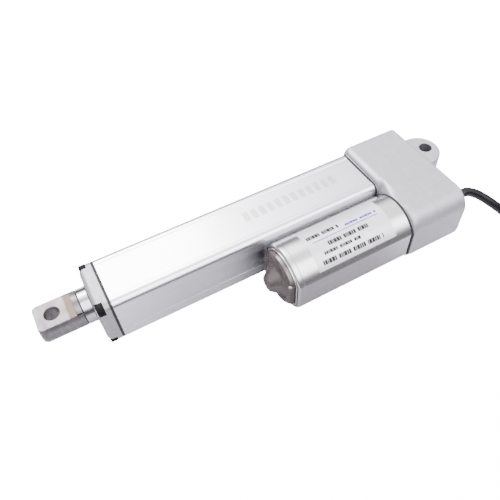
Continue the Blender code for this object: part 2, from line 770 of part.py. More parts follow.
def build_motor_case(axis):
    outer = double_d(MOTOR_CAN_R, MOTOR_FLAT)
    inner = double_d(MOTOR_CAN_R - CAN_WALL, MOTOR_FLAT - CAN_WALL)
    can = extruded("motor_can", "motor_can", [outer, inner], CAN_BACK_X, CAN_FRONT_X, axis)
    bm = bmesh.new()
    bm.from_mesh(can.data)
    high = max(v.co.z for v in bm.verts)
    limit = (MOTOR_FLAT - CAN_WALL / 2) * MM
    rim = []
    for edge in bm.edges:
        at_front = all(v.co.z > high - 1e-6 for v in edge.verts)
        mid = (edge.verts[0].co + edge.verts[1].co) / 2
        outside = abs(mid.y) > limit or math.hypot(mid.x, mid.y) > (MOTOR_CAN_R - CAN_WALL / 2) * MM
        if at_front and outside and edge.calc_face_angle() > 1.0:
            rim.append(edge)
    bmesh.ops.bevel(bm, geom=rim, offset=1.1 * MM, segments=2, profile=0.5, affect="EDGES")
    bm.to_mesh(can.data)
    bm.free()
    face_r = MOTOR_CAN_R - CAN_WALL - GAP
    bell = [
        (-83.9, 0.0),
        (-83.9, 2.4),
        (-81.8, 2.4),
        (-81.8, 3.3),
        (-83.2, 5.4),
        (-85.6, 6.2),
        (-86.9, 10.5),
        (-89.2, 16.4),
        (-90.2, face_r),
        (-94.0, face_r),
        (-94.0, 4.4),
        (-90.6, 4.4),
        (-90.6, 0.0),
    ]
    end = turned("motor_end_bell", "end_bell", bell, axis, steps=32)
    flat = MOTOR_FLAT - CAN_WALL - GAP
    for sign, side in ((1, "near"), (-1, "far")):
        low_y, high_y = sorted((sign * flat, sign * 25))
        boolean(end, box_cutter(f"bell_flat_{side}", axis, (-96, low_y, -25), (-80, high_y, 25)))
        at = (sign * (flat - BELL_SCREW_INSET_Y), sign * BELL_SCREW_Z)
        drill(end, f"bell_screw_hole_{side}", axis, -93.3, -80, BELL_SCREW_R + GAP, at, count=16)
        screw = rod_profile(-93.0, -88.0, BELL_SCREW_R, 0.25)
        turned(f"end_bell_screw_{side}", "end_bell", screw, axis, (0.0, *at), steps=12)
    bush = ring_profile(-94.0, -90.9, MOTOR_SHAFT_R + GAP, 4.1)
    turned("motor_front_bush", "bronze", bush, axis, steps=16, ring=True)
    plate = [double_d(face_r, flat), circle(0, 0, 4.7, 16)]
    extruded("motor_brush_plate", "phenolic", plate, CAN_BACK_X, CAN_BACK_X + 4, axis)
    bearing = ring_profile(CAN_BACK_X, CAN_BACK_X + 4, MOTOR_SHAFT_R + GAP, 4.4)
    turned("motor_rear_bush", "bronze", bearing, axis, steps=16, ring=True)


def build_motor_magnets(axis):
    outer_r = MOTOR_CAN_R - CAN_WALL - GAP
    for name, start in (("top", 42), ("low", 222)):
        loop = arc(0, 0, outer_r, start, start + 96, 9) + arc(0, 0, 14.4, start + 96, start, 9)
        extruded(f"motor_magnet_{name}", "magnet", [loop], -150.0, -106.0, axis)


def build_motor_brushes(axis):
    for name, sign in (("near", 1), ("far", -1)):
        low_y, high_y = sorted((sign * 5.9, sign * 12.0))
        box(f"motor_brush_{name}", "carbon", (-162.6, low_y, -2), (-159.6, high_y, 2), axis)


def build_rotor(axis):
    shaft = rod_profile(-197.6, -91.2, MOTOR_SHAFT_R)
    turned("motor_shaft", "steel", shaft, axis, steps=12)
    hole = circle(0, 0, MOTOR_SHAFT_R + GAP, 12)
    poles, core_r, slot_r = 12, 13.6, 10.6
    outline = []
    for pole in range(poles):
        middle = 360 / poles * pole
        outline += arc(0, 0, core_r, middle - 12, middle + 12, 3)
        outline += arc(0, 0, slot_r, middle + 13, middle + 17, 2)
    extruded("armature_core", "lamination", [outline, hole], -148.0, -108.0, axis)
    winding = [
        (0.0, MOTOR_SHAFT_R + GAP),
        (0.0, 9.0),
        (-2.0, 11.6),
        (-6.0, 11.6),
        (-8.0, 9.0),
        (-8.0, MOTOR_SHAFT_R + GAP),
    ]
    turned("armature_winding_front", "copper", winding, axis, (-99.7, 0, 0), steps=20, ring=True)
    turned("armature_winding_rear", "copper", winding, axis, (-148.3, 0, 0), steps=20, ring=True)
    ring = ring_profile(-163.4, -158.0, MOTOR_SHAFT_R + GAP, 5.6)
    turned("commutator", "copper", ring, axis, steps=20, ring=True)
    loops = [gear_outline(PINION_TEETH, 180 / PINION_TEETH), hole]
    extruded("motor_pinion", "sintered_steel", loops, *MOTOR_PINION_X, axis)


# ---------------------------------------------------------------- cord


def smooth_route(points, spacing):
    """Points along a Catmull-Rom curve through the route's own points."""
    dense = []
    padded = [points[0] * 2 - points[1]] + points + [points[-1] * 2 - points[-2]]
    for a, b, c, d in zip(padded, padded[1:], padded[2:], padded[3:]):
        for i in range(24):
            t = i / 24
            term = 2 * b + (c - a) * t + (2 * a - 5 * b + 4 * c - d) * t * t
            dense.append((term + (3 * b - 3 * c + d - a) * t * t * t) / 2)
    dense.append(points[-1])
    total = sum((q - p).length for p, q in zip(dense, dense[1:]))
    count = max(2, round(total / spacing))
    kept, travelled, wanted = [dense[0]], 0.0, total / count
    for p, q in zip(dense, dense[1:]):
        step = (q - p).length
        while travelled + step >= wanted - 1e-9 and len(kept) < count:
            kept.append(p.lerp(q, (wanted - travelled) / step))
            wanted += total / count
        travelled += step
    kept.append(dense[-1])
    return kept


def cord_tube(name, route, axis):
    """A stretch of cord. Its first and last two points set the directions of its end faces."""
    curve = bpy.data.curves.new(name, "CURVE")
    curve.dimensions = "3D"
    curve.bevel_depth = CORD_R * MM
    curve.bevel_resolution = 2
    curve.use_fill_caps = True
    route = [Vector(p) for p in route]
    points = route[:1] + smooth_route(route[1:-1], 2.4 * 2 * CORD_R) + route[-1:]
    spline = curve.splines.new("POLY")
    spline.points.add(len(points) - 1)
    for point, place in zip(spline.points, points):
        point.co = (*(place * MM), 1.0)
    obj = bpy.data.objects.new(name, curve)
    PARTS.objects.link(obj)
    return place_part(link_new(mesh_from_curve(obj)), name, "cord", axis, (0.0, 0.0, 0.0))


def coil_point(angle, radius, height):
    """A point beside the coil, at an angle in degrees from +X, in the axis frame."""
    turn = math.radians(angle)
    return (COIL_X + radius * math.cos(turn), COIL_Y + radius * math.sin(turn), height)


def build_cord(axis):
    floor = -HOUSING_HALF_Z
    rest = floor + CORD_R + 0.1
    lead_route = [
        (GROMMET_NOSE_X - GAP, GROMMET_Y, GROMMET_Z),
        (GROMMET_NOSE_X - 2.3, GROMMET_Y, GROMMET_Z),
        (-221.0, 45.6, 7.6),
        (-227.0, 48.9, 4.6),
        (-232.6, 54.0, 0.4),
        (-238.5, 59.6, -5.0),
        (-243.5, 64.5, -10.5),
        (-248.5, 69.5, -14.8),
        (-252.2, 73.3, -16.7),
        (-255.4, 76.5, rest),
        (-256.8, 77.9, rest),
    ]
    cord_tube("power_cord_lead", lead_route, axis)
    top = floor + COIL_LIFT + COIL_HEIGHT
    level = top + GAP + CORD_R
    end_route = [coil_point(angle, END_R, level) for angle in range(275, 351, 15)]
    end_route += [(COIL_X + END_R, COIL_Y - short, level) for short in (2.0, 0.0)]
    cord_tube("power_cord_end", end_route, axis)
    low, high = floor + COIL_LIFT, floor + COIL_LIFT + COIL_HEIGHT
    soft = 2.4
    profile = [
        (high, COIL_INNER_R + soft),
        (high, COIL_OUTER_R - soft),
        (high - soft, COIL_OUTER_R),
        (low + soft, COIL_OUTER_R),
        (low, COIL_OUTER_R - soft),
        (low, COIL_INNER_R + soft),
        (low + soft, COIL_INNER_R),
        (high - soft, COIL_INNER_R),
    ]
    coil = turned("power_cord_coil", "cord", profile, axis, (COIL_X, COIL_Y, 0), steps=36, ring=True)
    coil.rotation_euler = (0.0, 0.0, 0.0)
    build_tie(axis, low, high)
    build_plug(axis, top)


def build_tie(axis, low, high):
    """A flat strap round the coil, square to its turns."""
    inner = (COIL_INNER_R - GAP, COIL_OUTER_R + GAP, low - GAP, high + GAP)
    outer = [value + sign * TIE_THICKNESS for value, sign in zip(inner, (-1, 1, -1, 1))]
    loops = [rounded_box(*outer, 2.2, 2.2, 3), rounded_box(*inner, 1.6, 1.6, 3)]
    tie = extruded("cord_coil_tie", "tie", loops, -TIE_WIDTH / 2, TIE_WIDTH / 2, axis)
    tie.location = (COIL_X * MM, COIL_Y * MM, 0.0)
    tie.rotation_euler = (0.0, math.pi / 2, math.radians(45))


def build_plug(axis, top):
    """A two-way plug housing at the end of the cord, lying on the coil."""
    length, width, height = PLUG_SIZE
    body = box_mesh("cord_plug", (0, -width / 2, 0), (length, width / 2, height))
    plug = place_part(link_new(body), "cord_plug", "plug", axis, (0.0, 0.0, 0.0))
    plug.location = Vector((COIL_X + END_R, COIL_Y + GAP, top + GAP)) * MM
    plug.rotation_euler = (0.0, 0.0, math.pi / 2)
    bevel(plug, 0.8, 1)
    for sign, side in ((1, "left"), (-1, "right")):
        low = (length - 9, sign * 2.6 - 1.4, 1.6)
        high = (length + 2, sign * 2.6 + 1.4, height - 1.6)
        boolean(plug, box_cutter(f"contact_{side}", plug, low, high))


def build_grommet(axis):
    profile = [
        (-201.6, 0.0),
        (-201.6, GROMMET_NECK_R),
        (COVER_BACK_X - GAP, GROMMET_NECK_R),
        (COVER_BACK_X - GAP, GROMMET_FLANGE_R),
        (COVER_BACK_X - 1.6, GROMMET_FLANGE_R),
        (COVER_BACK_X - 2.2, GROMMET_FLANGE_R - 0.8),
        (COVER_BACK_X - 2.2, 5.0),
        (GROMMET_NOSE_X, 3.8),
        (GROMMET_NOSE_X, 0.0),
    ]
    turned("cord_grommet", "seal", profile, axis, (0, GROMMET_Y, GROMMET_Z), steps=20)


# ---------------------------------------------------------------- the whole actuator

FINISH = {
    "tube": ((0.80, 0.80, 0.82), 0.32, 0.9),
    "casting": ((0.58, 0.58, 0.60), 0.45, 0.6),
    "motor_can": ((0.78, 0.78, 0.80), 0.22, 1.0),
    "end_bell": ((0.38, 0.34, 0.33), 0.35, 1.0),
    "rod_end": ((0.62, 0.61, 0.60), 0.30, 1.0),
    "chromed_rod": ((0.72, 0.72, 0.73), 0.15, 1.0),
    "steel": ((0.55, 0.55, 0.57), 0.30, 1.0),
    "spring_steel": ((0.20, 0.20, 0.22), 0.35, 1.0),
    "sintered_steel": ((0.35, 0.35, 0.36), 0.50, 1.0),
    "bearing": ((0.65, 0.66, 0.68), 0.18, 1.0),
    "brass": ((0.70, 0.55, 0.25), 0.35, 1.0),
    "bronze": ((0.55, 0.38, 0.20), 0.40, 1.0),
    "copper": ((0.72, 0.36, 0.20), 0.35, 1.0),
    "lamination": ((0.25, 0.25, 0.27), 0.45, 1.0),
    "magnet": ((0.12, 0.12, 0.13), 0.40, 0.8),
    "carbon": ((0.05, 0.05, 0.05), 0.60, 0.0),
    "phenolic": ((0.30, 0.16, 0.08), 0.55, 0.0),
    "acetal": ((0.85, 0.84, 0.80), 0.45, 0.0),
    "board": ((0.05, 0.25, 0.12), 0.50, 0.0),
    "sensor": ((0.04, 0.04, 0.05), 0.40, 0.0),
    "gasket": ((0.03, 0.03, 0.03), 0.70, 0.0),
    "seal": ((0.03, 0.03, 0.03), 0.60, 0.0),
    "black_screw": ((0.04, 0.04, 0.04), 0.35, 0.7),
    "cord": ((0.03, 0.03, 0.03), 0.55, 0.0),
    "tie": ((0.05, 0.05, 0.05), 0.50, 0.0),
    "plug": ((0.80, 0.80, 0.78), 0.45, 0.0),
}

COVER_SCREWS = {
    "far_top": (-10.4, 14.5),
    "far_low": (-10.4, -14.5),
    "near_top": (34.6, 15.6),
    "near_low": (46.4, -11.6),
}

clear_scene()
PARTS = new_collection("linear_actuator")
CUTTERS = new_collection("cutters")

rod_axis = make_empty("rod_axis", None, (AXIS_X, AXIS_Y, AXIS_Z))
idler_axis = make_empty("idler_axis", rod_axis, (0.0, IDLER_Y, 0.0))
motor_axis = make_empty("motor_axis", rod_axis, (0.0, MOTOR_Y, 0.0))

build_tube(rod_axis)
build_front_cap(rod_axis)
build_rod(rod_axis)
build_nut(rod_axis)
build_lead_screw(rod_axis)
build_screw_bearing(rod_axis, rod_axis)
build_limit_sensors(rod_axis)
build_rear_gasket(rod_axis)
build_housing(rod_axis)
build_cover(rod_axis)
build_idler(rod_axis, idler_axis)
build_motor_case(motor_axis)
build_motor_magnets(motor_axis)
build_motor_brushes(motor_axis)
build_rotor(motor_axis)
build_grommet(rod_axis)
build_cord(rod_axis)
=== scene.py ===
"""The looks of the linear actuator: shells, fasteners, cord and materials, in its CAD frame."""

import math

import bmesh
import bpy
from mathutils import Matrix, Vector

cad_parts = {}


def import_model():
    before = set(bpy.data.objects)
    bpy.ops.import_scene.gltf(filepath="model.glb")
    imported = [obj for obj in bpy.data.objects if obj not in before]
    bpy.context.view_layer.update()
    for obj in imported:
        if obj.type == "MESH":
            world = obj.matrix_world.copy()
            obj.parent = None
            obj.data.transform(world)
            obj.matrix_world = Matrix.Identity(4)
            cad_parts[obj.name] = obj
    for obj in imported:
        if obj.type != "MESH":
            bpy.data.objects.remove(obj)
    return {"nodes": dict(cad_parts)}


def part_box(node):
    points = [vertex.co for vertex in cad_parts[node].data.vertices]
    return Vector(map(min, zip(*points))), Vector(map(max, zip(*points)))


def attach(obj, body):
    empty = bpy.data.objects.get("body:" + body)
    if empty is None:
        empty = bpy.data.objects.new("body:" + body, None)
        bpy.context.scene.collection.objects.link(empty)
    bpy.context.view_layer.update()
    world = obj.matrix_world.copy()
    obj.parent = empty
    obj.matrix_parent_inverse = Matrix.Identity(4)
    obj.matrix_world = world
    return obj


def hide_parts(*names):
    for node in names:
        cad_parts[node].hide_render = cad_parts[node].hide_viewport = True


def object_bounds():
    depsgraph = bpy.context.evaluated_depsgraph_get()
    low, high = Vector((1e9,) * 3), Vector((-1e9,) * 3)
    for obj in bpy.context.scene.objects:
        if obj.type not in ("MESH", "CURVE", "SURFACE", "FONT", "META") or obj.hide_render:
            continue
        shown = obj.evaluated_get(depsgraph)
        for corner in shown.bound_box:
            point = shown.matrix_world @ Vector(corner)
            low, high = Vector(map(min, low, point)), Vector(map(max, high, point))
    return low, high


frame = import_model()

MM = 0.001
CAD_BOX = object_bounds()

# --- Places, read from the frame
# Positions below are in millimetres in the rod's frame: X along the rod from the front joint face,
# Y towards the motor, Z up, with Y = Z = 0 on the rod's axis.


def middle(node):
    low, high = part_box(node)
    return (Vector(low) + Vector(high)) / 2


ROD = middle("rod_tube")
ORIGIN = Vector((middle("front_gasket").x, ROD.y, ROD.z))


def spans(node):
    """A node's lowest and highest corners in millimetres in the rod's frame."""
    low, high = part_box(node)
    return (Vector(low) - ORIGIN) / MM, (Vector(high) - ORIGIN) / MM


def world(x, y, z):
    return ORIGIN + Vector((x, y, z)) * MM


TUBE_LOW, TUBE_HIGH = spans("outer_tube")
CAP_LOW, CAP_HIGH = spans("front_cap")
HOUSING_LOW, HOUSING_HIGH = spans("gearbox_housing")
COVER_LOW, COVER_HIGH = spans("gearbox_cover")
CAN_LOW, CAN_HIGH = spans("motor_can")
SEAL_HIGH = spans("rod_wiper_seal")[1]
ROD_LOW, ROD_HIGH = spans("rod_tube")
END_HIGH = spans("rod_end")[1]
GROMMET_LOW = spans("cord_grommet")[0]
PLUG_LOW, PLUG_HIGH = spans("cord_plug")
COIL_LOW, COIL_HIGH = spans("power_cord_coil")
SCREW_LOW, SCREW_HIGH = spans("lead_screw")
MOTOR_Y = (CAN_LOW.y + CAN_HIGH.y) / 2
CAN_R = (CAN_HIGH.z - CAN_LOW.z) / 2
CAN_FLAT = (CAN_HIGH.y - CAN_LOW.y) / 2
TUBE_CORNER_R = 4.4
ROD_R = ROD_HIGH.z
EAR_HALF_Z, EAR_R = 7.65, 13.3
EAR_CENTRE_X = COVER_LOW.x + EAR_R
EAR_EYE_X = -225.4
EYE_X = 29.7
EYE_R = 4.1
FLAT_HALF_Z = 5.8
COVER_BACK_X = spans("cover_screw_near_top")[0].x - 0.4
PARTING_X = (HOUSING_LOW.x + COVER_HIGH.x) / 2
HEAD_R, HEAD_HEIGHT = 3.5, 4.0
HEAD_HOLE_R, SHANK_HOLE_R, AXLE_HOLE_R = 3.85, 2.1, 2.05
TUBE_BORE_R = 12.6
GASKET_PROUD, GASKET_EDGE = 0.29, 0.08
CAP_SCREWS = [f"front_cap_screw_{side}_{level}" for side in ("far", "near") for level in ("low", "top")]
COVER_SCREWS = [f"cover_screw_{side}_{level}" for side in ("far", "near") for level in ("top", "low")]
SCREW_Y = sorted({round(spans(name)[0].y + HEAD_R, 2) for name in CAP_SCREWS})
SCREW_Z = 13.5


def centre_yz(node):
    low, high = spans(node)
    return (low.y + high.y) / 2, (low.z + high.z) / 2


IDLER_Y = centre_yz("compound_gear")[0]
GROMMET_AT = centre_yz("cord_grommet")

# --- Materials


def shader_nodes(name):
    material = bpy.data.materials.new(name)
    material.use_nodes = True
    tree = material.node_tree
    return material, tree, tree.nodes["Principled BSDF"]


def add_node(tree, kind, inputs=None, **settings):
    """A shader node with its settings. Each of its inputs is linked to a socket or set to a value."""
    node = tree.nodes.new(kind)
    for key, value in settings.items():
        setattr(node, key, value)
    for key, value in (inputs or {}).items():
        if isinstance(value, bpy.types.NodeSocket):
            tree.links.new(value, node.inputs[key])
        else:
            node.inputs[key].default_value = value
    return node


def maths(tree, operation, *values):
    return add_node(tree, "ShaderNodeMath", dict(enumerate(values)), operation=operation).outputs[0]


def vector_maths(tree, operation, *values):
    return add_node(tree, "ShaderNodeVectorMath", dict(enumerate(values)), operation=operation).outputs


def map_range(tree, value, start, end, low=0.0, high=1.0, **settings):
    inputs = {"Value": value, "From Min": start, "From Max": end, "To Min": low, "To Max": high}
    return add_node(tree, "ShaderNodeMapRange", inputs, **settings).outputs["Result"]


def object_place(tree):
    return tree.nodes.new("ShaderNodeTexCoord").outputs["Object"]


def object_axes(tree):
    return add_node(tree, "ShaderNodeSeparateXYZ", {"Vector": object_place(tree)}).outputs


def object_noise(tree, scale, stretch, detail=4.0):
    """Noise in millimetres of the piece's own space, stretched along chosen axes."""
    scales = [1000.0 / (scale * s) for s in stretch]
    mapping = add_node(tree, "ShaderNodeMapping", {"Scale": scales, "Vector": object_place(tree)})
    inputs = {"Scale": 1.0, "Detail": detail, "Roughness": 0.55, "Vector": mapping.outputs["Vector"]}
    return add_node(tree, "ShaderNodeTexNoise", inputs).outputs["Fac"]


def ramp(tree, value, low, high):
    """Maps a noise value between two greys or two colours."""
    node = add_node(tree, "ShaderNodeValToRGB", {"Fac": value})
    for stop, place, shade in zip(node.color_ramp.elements, (0.35, 0.65), (low, high)):
        stop.position = place
        stop.color = (*shade, 1.0) if hasattr(shade, "__len__") else (shade, shade, shade, 1)
    return node.outputs["Color"]


def surface(name, dark, light, metallic, rough, grain, stretch, depth=0.0, fine=0.0, coat=0.0, gloss=0.5):
    """A finish with mottled colour, mottled roughness and a fine grain that stands out of the surface."""
    material, tree, shader = shader_nodes(name)
    shader.inputs["Metallic"].default_value = metallic
    shader.inputs["Specular IOR Level"].default_value = gloss
    if coat:
        shader.inputs["Coat Weight"].default_value = coat
        shader.inputs["Coat Roughness"].default_value = 0.2
    mottle = object_noise(tree, grain, stretch)
    tree.links.new(ramp(tree, mottle, dark, light), shader.inputs["Base Color"])
    patches = object_noise(tree, grain * 2.7, stretch, 3.0)
    tree.links.new(ramp(tree, patches, *rough), shader.inputs["Roughness"])
    if depth:
        relief = {"Strength": 0.6, "Distance": depth * MM, "Height": object_noise(tree, fine, stretch, 2.0)}
        tree.links.new(add_node(tree, "ShaderNodeBump", relief).outputs["Normal"], shader.inputs["Normal"])
    return material


def satin_side(material):
    """Makes the tube's near side, which faces the motor, a little rougher than its top."""
    tree = material.node_tree
    rough = tree.nodes["Principled BSDF"].inputs["Roughness"]
    start, end = (world(0, TUBE_HIGH.y - inside, 0).y for inside in (0.35, 0.04))
    extra = map_range(tree, object_axes(tree)["Y"], start, end, 0.0, SATIN_EXTRA)
    tree.links.new(maths(tree, "ADD", rough.links[0].from_socket, extra), rough)


def tinted(tree, mask, colour):
    """Turns a finish's colour to another where the mask is 1."""
    base = tree.nodes["Principled BSDF"].inputs["Base Color"]
    inputs = {0: mask, 6: base.links[0].from_socket, 7: (*colour, 1.0)}
    tree.links.new(add_node(tree, "ShaderNodeMix", inputs, data_type="RGBA").outputs[2], base)


def painted_bore_shade(material, x, y, radius, colour):
    """Paints shade on the wall of a vertical bore at (x, y): the finish turns darker there, a painted shade.
    """
    tree = material.node_tree
    away = vector_maths(tree, "SUBTRACT", object_place(tree), world(x, y, 0))["Vector"]
    level = vector_maths(tree, "MULTIPLY", away, (1, 1, 0))["Vector"]
    distance = vector_maths(tree, "LENGTH", level)["Value"]
    tinted(tree, map_range(tree, distance, (radius + 0.25) * MM, (radius + 0.05) * MM), colour)


def stained(material, low_x, high_x, colour):
    """Tints a band of the rod end's top flat between two X values."""
    tree = material.node_tree
    axes = object_axes(tree)
    masks = []
    for start, end in ((low_x - 0.4, low_x + 0.4), (high_x + 0.4, high_x - 0.4)):
        masks.append(map_range(tree, axes["X"], world(start, 0, 0).x, world(end, 0, 0).x))
    start, end = (world(0, 0, FLAT_HALF_Z - below).z for below in (0.4, 0.1))
    top = map_range(tree, axes["Z"], start, end)
    tinted(tree, maths(tree, "MULTIPLY", maths(tree, "MULTIPLY", *masks), top), colour)


SATIN_EXTRA = 0.17
# Painted shade inside the ear's bore.
BORE_SHADE_COLOUR = (0.125, 0.12, 0.13)
STAIN_LOW_X, STAIN_HIGH_X = 17.9, 21.8
STAIN_COLOUR = (0.060, 0.044, 0.030)
DRAWN = (40, 1, 1)
EVEN = (1, 1, 1)

# Each finish: its material's name, dark and light colours, metallic share, range of roughness, grain in mm,
# the grain's stretch, the relief's depth and its own grain in mm, clear coat, and specular level.
FINISH_TABLE = {
    "tube": ("anodised_extrusion", (0.59, 0.59, 0.615), (0.615, 0.615, 0.645), 1.0, (0.25, 0.28),
        2.2, DRAWN, 0.0006, 0.5),
    "casting": ("tumbled_casting", (0.305, 0.298, 0.318), (0.335, 0.327, 0.348), 0.6, (0.4, 0.46),
        3.2, EVEN, 0.01, 0.5),
    "cap_casting": ("cap_casting", (0.195, 0.19, 0.203), (0.25, 0.243, 0.26), 0.5, (0.36, 0.46),
        1.0, EVEN, 0.012, 0.4),
    "rod_end": ("plated_rod_end", (0.098, 0.092, 0.095), (0.145, 0.137, 0.141), 0.75, (0.28, 0.38),
        2.4, (1, 2, 2), 0.002, 0.4),
    "rod": ("chromed_rod", (0.33, 0.325, 0.34), (0.39, 0.385, 0.4), 1.0, (0.12, 0.17),
        2.0, (0.3, 8, 8), 0.0006, 0.3),
    "can": ("plated_can", (0.51, 0.5, 0.5), (0.57, 0.56, 0.555), 1.0, (0.2, 0.25),
        3.0, DRAWN, 0.0006, 0.5),
    "bell": ("dark_end_bell", (0.095, 0.083, 0.08), (0.13, 0.114, 0.11), 0.85, (0.3, 0.38),
        4.0, EVEN, 0.0, 0.5),
    "black_steel": ("black_oxide", (0.003, 0.003, 0.0032), (0.006, 0.006, 0.0064), 0.0, (0.3, 0.44),
        0.6, EVEN, 0.006, 0.2, 0.0, 0.05),
    "rubber": ("black_rubber", (0.01, 0.01, 0.011), (0.02, 0.02, 0.021), 0.0, (0.55, 0.72),
        0.8, EVEN, 0.01, 0.25, 0.0, 0.2),
    "jacket": ("cord_jacket", (0.003, 0.003, 0.0035), (0.006, 0.006, 0.007), 0.0, (0.24, 0.32),
        2.0, EVEN, 0.006, 0.4, 0.0, 0.22),
    "nylon": ("tie_nylon", (0.02, 0.02, 0.02), (0.035, 0.035, 0.035), 0.0, (0.38, 0.5),
        1.0, EVEN, 0.015, 0.3),
    "plug": ("plug_nylon", (0.72, 0.71, 0.67), (0.8, 0.79, 0.75), 0.0, (0.38, 0.5), 1.5, EVEN, 0.015, 0.3),
    "steel": ("ground_steel", (0.48, 0.48, 0.49), (0.62, 0.62, 0.63), 1.0, (0.18, 0.3),
        0.5, (0.4, 6, 6), 0.004, 0.2),
    "spring": ("blued_spring_steel", (0.05, 0.06, 0.09), (0.12, 0.12, 0.15), 1.0, (0.25, 0.38),
        0.7, EVEN, 0.004, 0.2),
    "sintered": ("sintered_gear_steel", (0.22, 0.22, 0.22), (0.36, 0.35, 0.34), 1.0, (0.38, 0.55),
        0.4, EVEN, 0.02, 0.12),
    "bearing": ("bearing_steel", (0.6, 0.61, 0.63), (0.7, 0.71, 0.72), 1.0, (0.1, 0.2),
        0.8, (1, 4, 4), 0.003, 0.2),
    "brass": ("pressed_brass", (0.55, 0.4, 0.16), (0.72, 0.56, 0.26), 1.0, (0.28, 0.4),
        0.8, EVEN, 0.006, 0.3),
    "bronze": ("sintered_bronze", (0.38, 0.24, 0.12), (0.58, 0.4, 0.22), 1.0, (0.38, 0.55),
        0.35, EVEN, 0.02, 0.12),
    "copper": ("enamelled_copper", (0.48, 0.18, 0.08), (0.74, 0.34, 0.18), 1.0, (0.24, 0.36),
        0.5, EVEN, 0.03, 0.4, 0.4),
    "lamination": ("stacked_laminations", (0.14, 0.14, 0.15), (0.3, 0.3, 0.31), 0.9, (0.38, 0.52),
        0.5, (1, 30, 30), 0.03, 0.5),
    "ferrite": ("ferrite", (0.055, 0.055, 0.06), (0.11, 0.11, 0.115), 0.3, (0.45, 0.62),
        0.8, EVEN, 0.02, 0.2),
    "carbon": ("pressed_carbon", (0.018, 0.018, 0.018), (0.05, 0.05, 0.05), 0.2, (0.5, 0.68),
        0.4, EVEN, 0.02, 0.15),
    "phenolic": ("phenolic_sheet", (0.2, 0.09, 0.04), (0.33, 0.17, 0.08), 0.0, (0.42, 0.56),
        0.9, EVEN, 0.02, 0.3),
    "acetal": ("moulded_acetal", (0.78, 0.77, 0.72), (0.86, 0.85, 0.8), 0.0, (0.34, 0.46),
        1.5, EVEN, 0.01, 0.3),
    "board": ("board_mask", (0.02, 0.16, 0.07), (0.04, 0.24, 0.11), 0.0, (0.3, 0.42),
        1.2, EVEN, 0.01, 0.3, 0.5),
    "sensor": ("sensor_body", (0.018, 0.018, 0.02), (0.038, 0.038, 0.04), 0.0, (0.36, 0.5),
        0.6, EVEN, 0.01, 0.2),
    "mark": ("etched_mark", (0.4, 0.4, 0.41), (0.46, 0.46, 0.47), 0.9, (0.38, 0.44), 2.0, EVEN, 0.001, 0.3),
    "label": ("label_film", (0.52, 0.515, 0.53), (0.56, 0.555, 0.57), 0.25, (0.26, 0.32),
        6.0, EVEN, 0.0, 1.0, 0.3),
    "label_ink": ("label_ink", (0.008, 0.0075, 0.008), (0.016, 0.015, 0.016), 0.0, (0.42, 0.55),
        0.5, EVEN, 0.0, 0.0, 0.0, 0.1),
    "label_blue": ("label_blue_ink", (0.02, 0.02, 0.2), (0.035, 0.035, 0.27), 0.0, (0.42, 0.55),
        0.5, EVEN, 0.0, 0.0, 0.0, 0.1),
}


def make_finishes():
    return {key: surface(*row) for key, row in FINISH_TABLE.items()}


# --- Making pieces


def link(name, mesh):
    obj = bpy.data.objects.new(name, mesh)
    bpy.context.scene.collection.objects.link(obj)
    return obj


def piece(name, mesh, finish, replaces=(), angle=32.0, weighted=True, body="housing"):
    """Makes an object of a finished mesh, smooth but for its sharp edges, and hands it to the frame."""
    mesh.name = name
    obj = link(name, mesh)
    mesh.materials.clear()
    mesh.materials.append(FINISH[finish])
    mesh.shade_smooth()
    mesh.set_sharp_from_angle(angle=math.radians(angle))
    if weighted:
        modifier = obj.modifiers.new("normals", "WEIGHTED_NORMAL")
        modifier.keep_sharp = True
        modifier.weight = 60
    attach(obj, body)
    if replaces:
        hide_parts(*replaces)
    return obj


def mesh_of(bm):
    bmesh.ops.recalc_face_normals(bm, faces=bm.faces)
    mesh = bpy.data.meshes.new("shape")
    bm.to_mesh(mesh)
    bm.free()
    return mesh


def loft(rings, closed=False, capped=True):
    """Skins rings of equal length, or single points. A closed loft joins its last ring to its first."""
    bm = bmesh.new()
    loops = [[bm.verts.new(p) for p in ring] for ring in rings]
    count = max(len(loop) for loop in loops)
    pairs = list(zip(loops, loops[1:]))
    if closed:
        pairs.append((loops[-1], loops[0]))
    for a, b in pairs:
        for i in range(count):
            j = (i + 1) % count
            start = [a[0]] if len(a) == 1 else [a[i], a[j]]
            bm.faces.new(start + ([b[0]] if len(b) == 1 else [b[j], b[i]]))
    if capped and not closed:
        for loop in (loops[0], loops[-1]):
            centre = bm.verts.new(sum((v.co for v in loop), Vector()) / count)
            for i in range(count):
                bm.faces.new((loop[i], loop[(i + 1) % count], centre))
    return mesh_of(bm)


def rounded(profile, steps=5):
    """Rounds a profile of (x, r) or (x, r, radius) points: each corner with a radius becomes an arc."""
    points = [Vector(p[:2]) for p in profile]
    out = []
    for i, entry in enumerate(profile):
        radius = entry[2] if len(entry) > 2 else 0.0
        here = points[i]
        if not radius or i in (0, len(profile) - 1):
            out.append(tuple(here))
            continue
        before = (points[i - 1] - here).normalized()
        after = (points[i + 1] - here).normalized()
        half = before.angle(after) / 2
        reach_back = radius / math.tan(half)
        centre = here + (before + after).normalized() * (radius / math.sin(half))
        start = here + before * reach_back - centre
        end = here + after * reach_back - centre
        for k in range(steps + 1):
            t = k / steps
            ray = start.lerp(end, t)
            out.append(tuple(centre + ray.normalized() * radius))
    return out


def turned(profile, at=(0.0, 0.0), segments=96, ring=False):
    """Turns an (x, r) profile round an axis along X at (y, z)."""
    angles = [2 * math.pi * k / segments for k in range(segments)]
    rings = []
    for x, r in profile:
        loop = [at] if r < 1e-6 else [(at[0] + r * math.cos(a), at[1] + r * math.sin(a)) for a in angles]
        rings.append(in_x(x, loop))
    return loft(rings, ring, capped=False)


def arc(cy, cz, radius, start, end, count):
    points = []
    for i in range(count):
        angle = math.radians(start + (end - start) * i / (count - 1))
        points.append((cy + radius * math.cos(angle), cz + radius * math.sin(angle)))
    return points


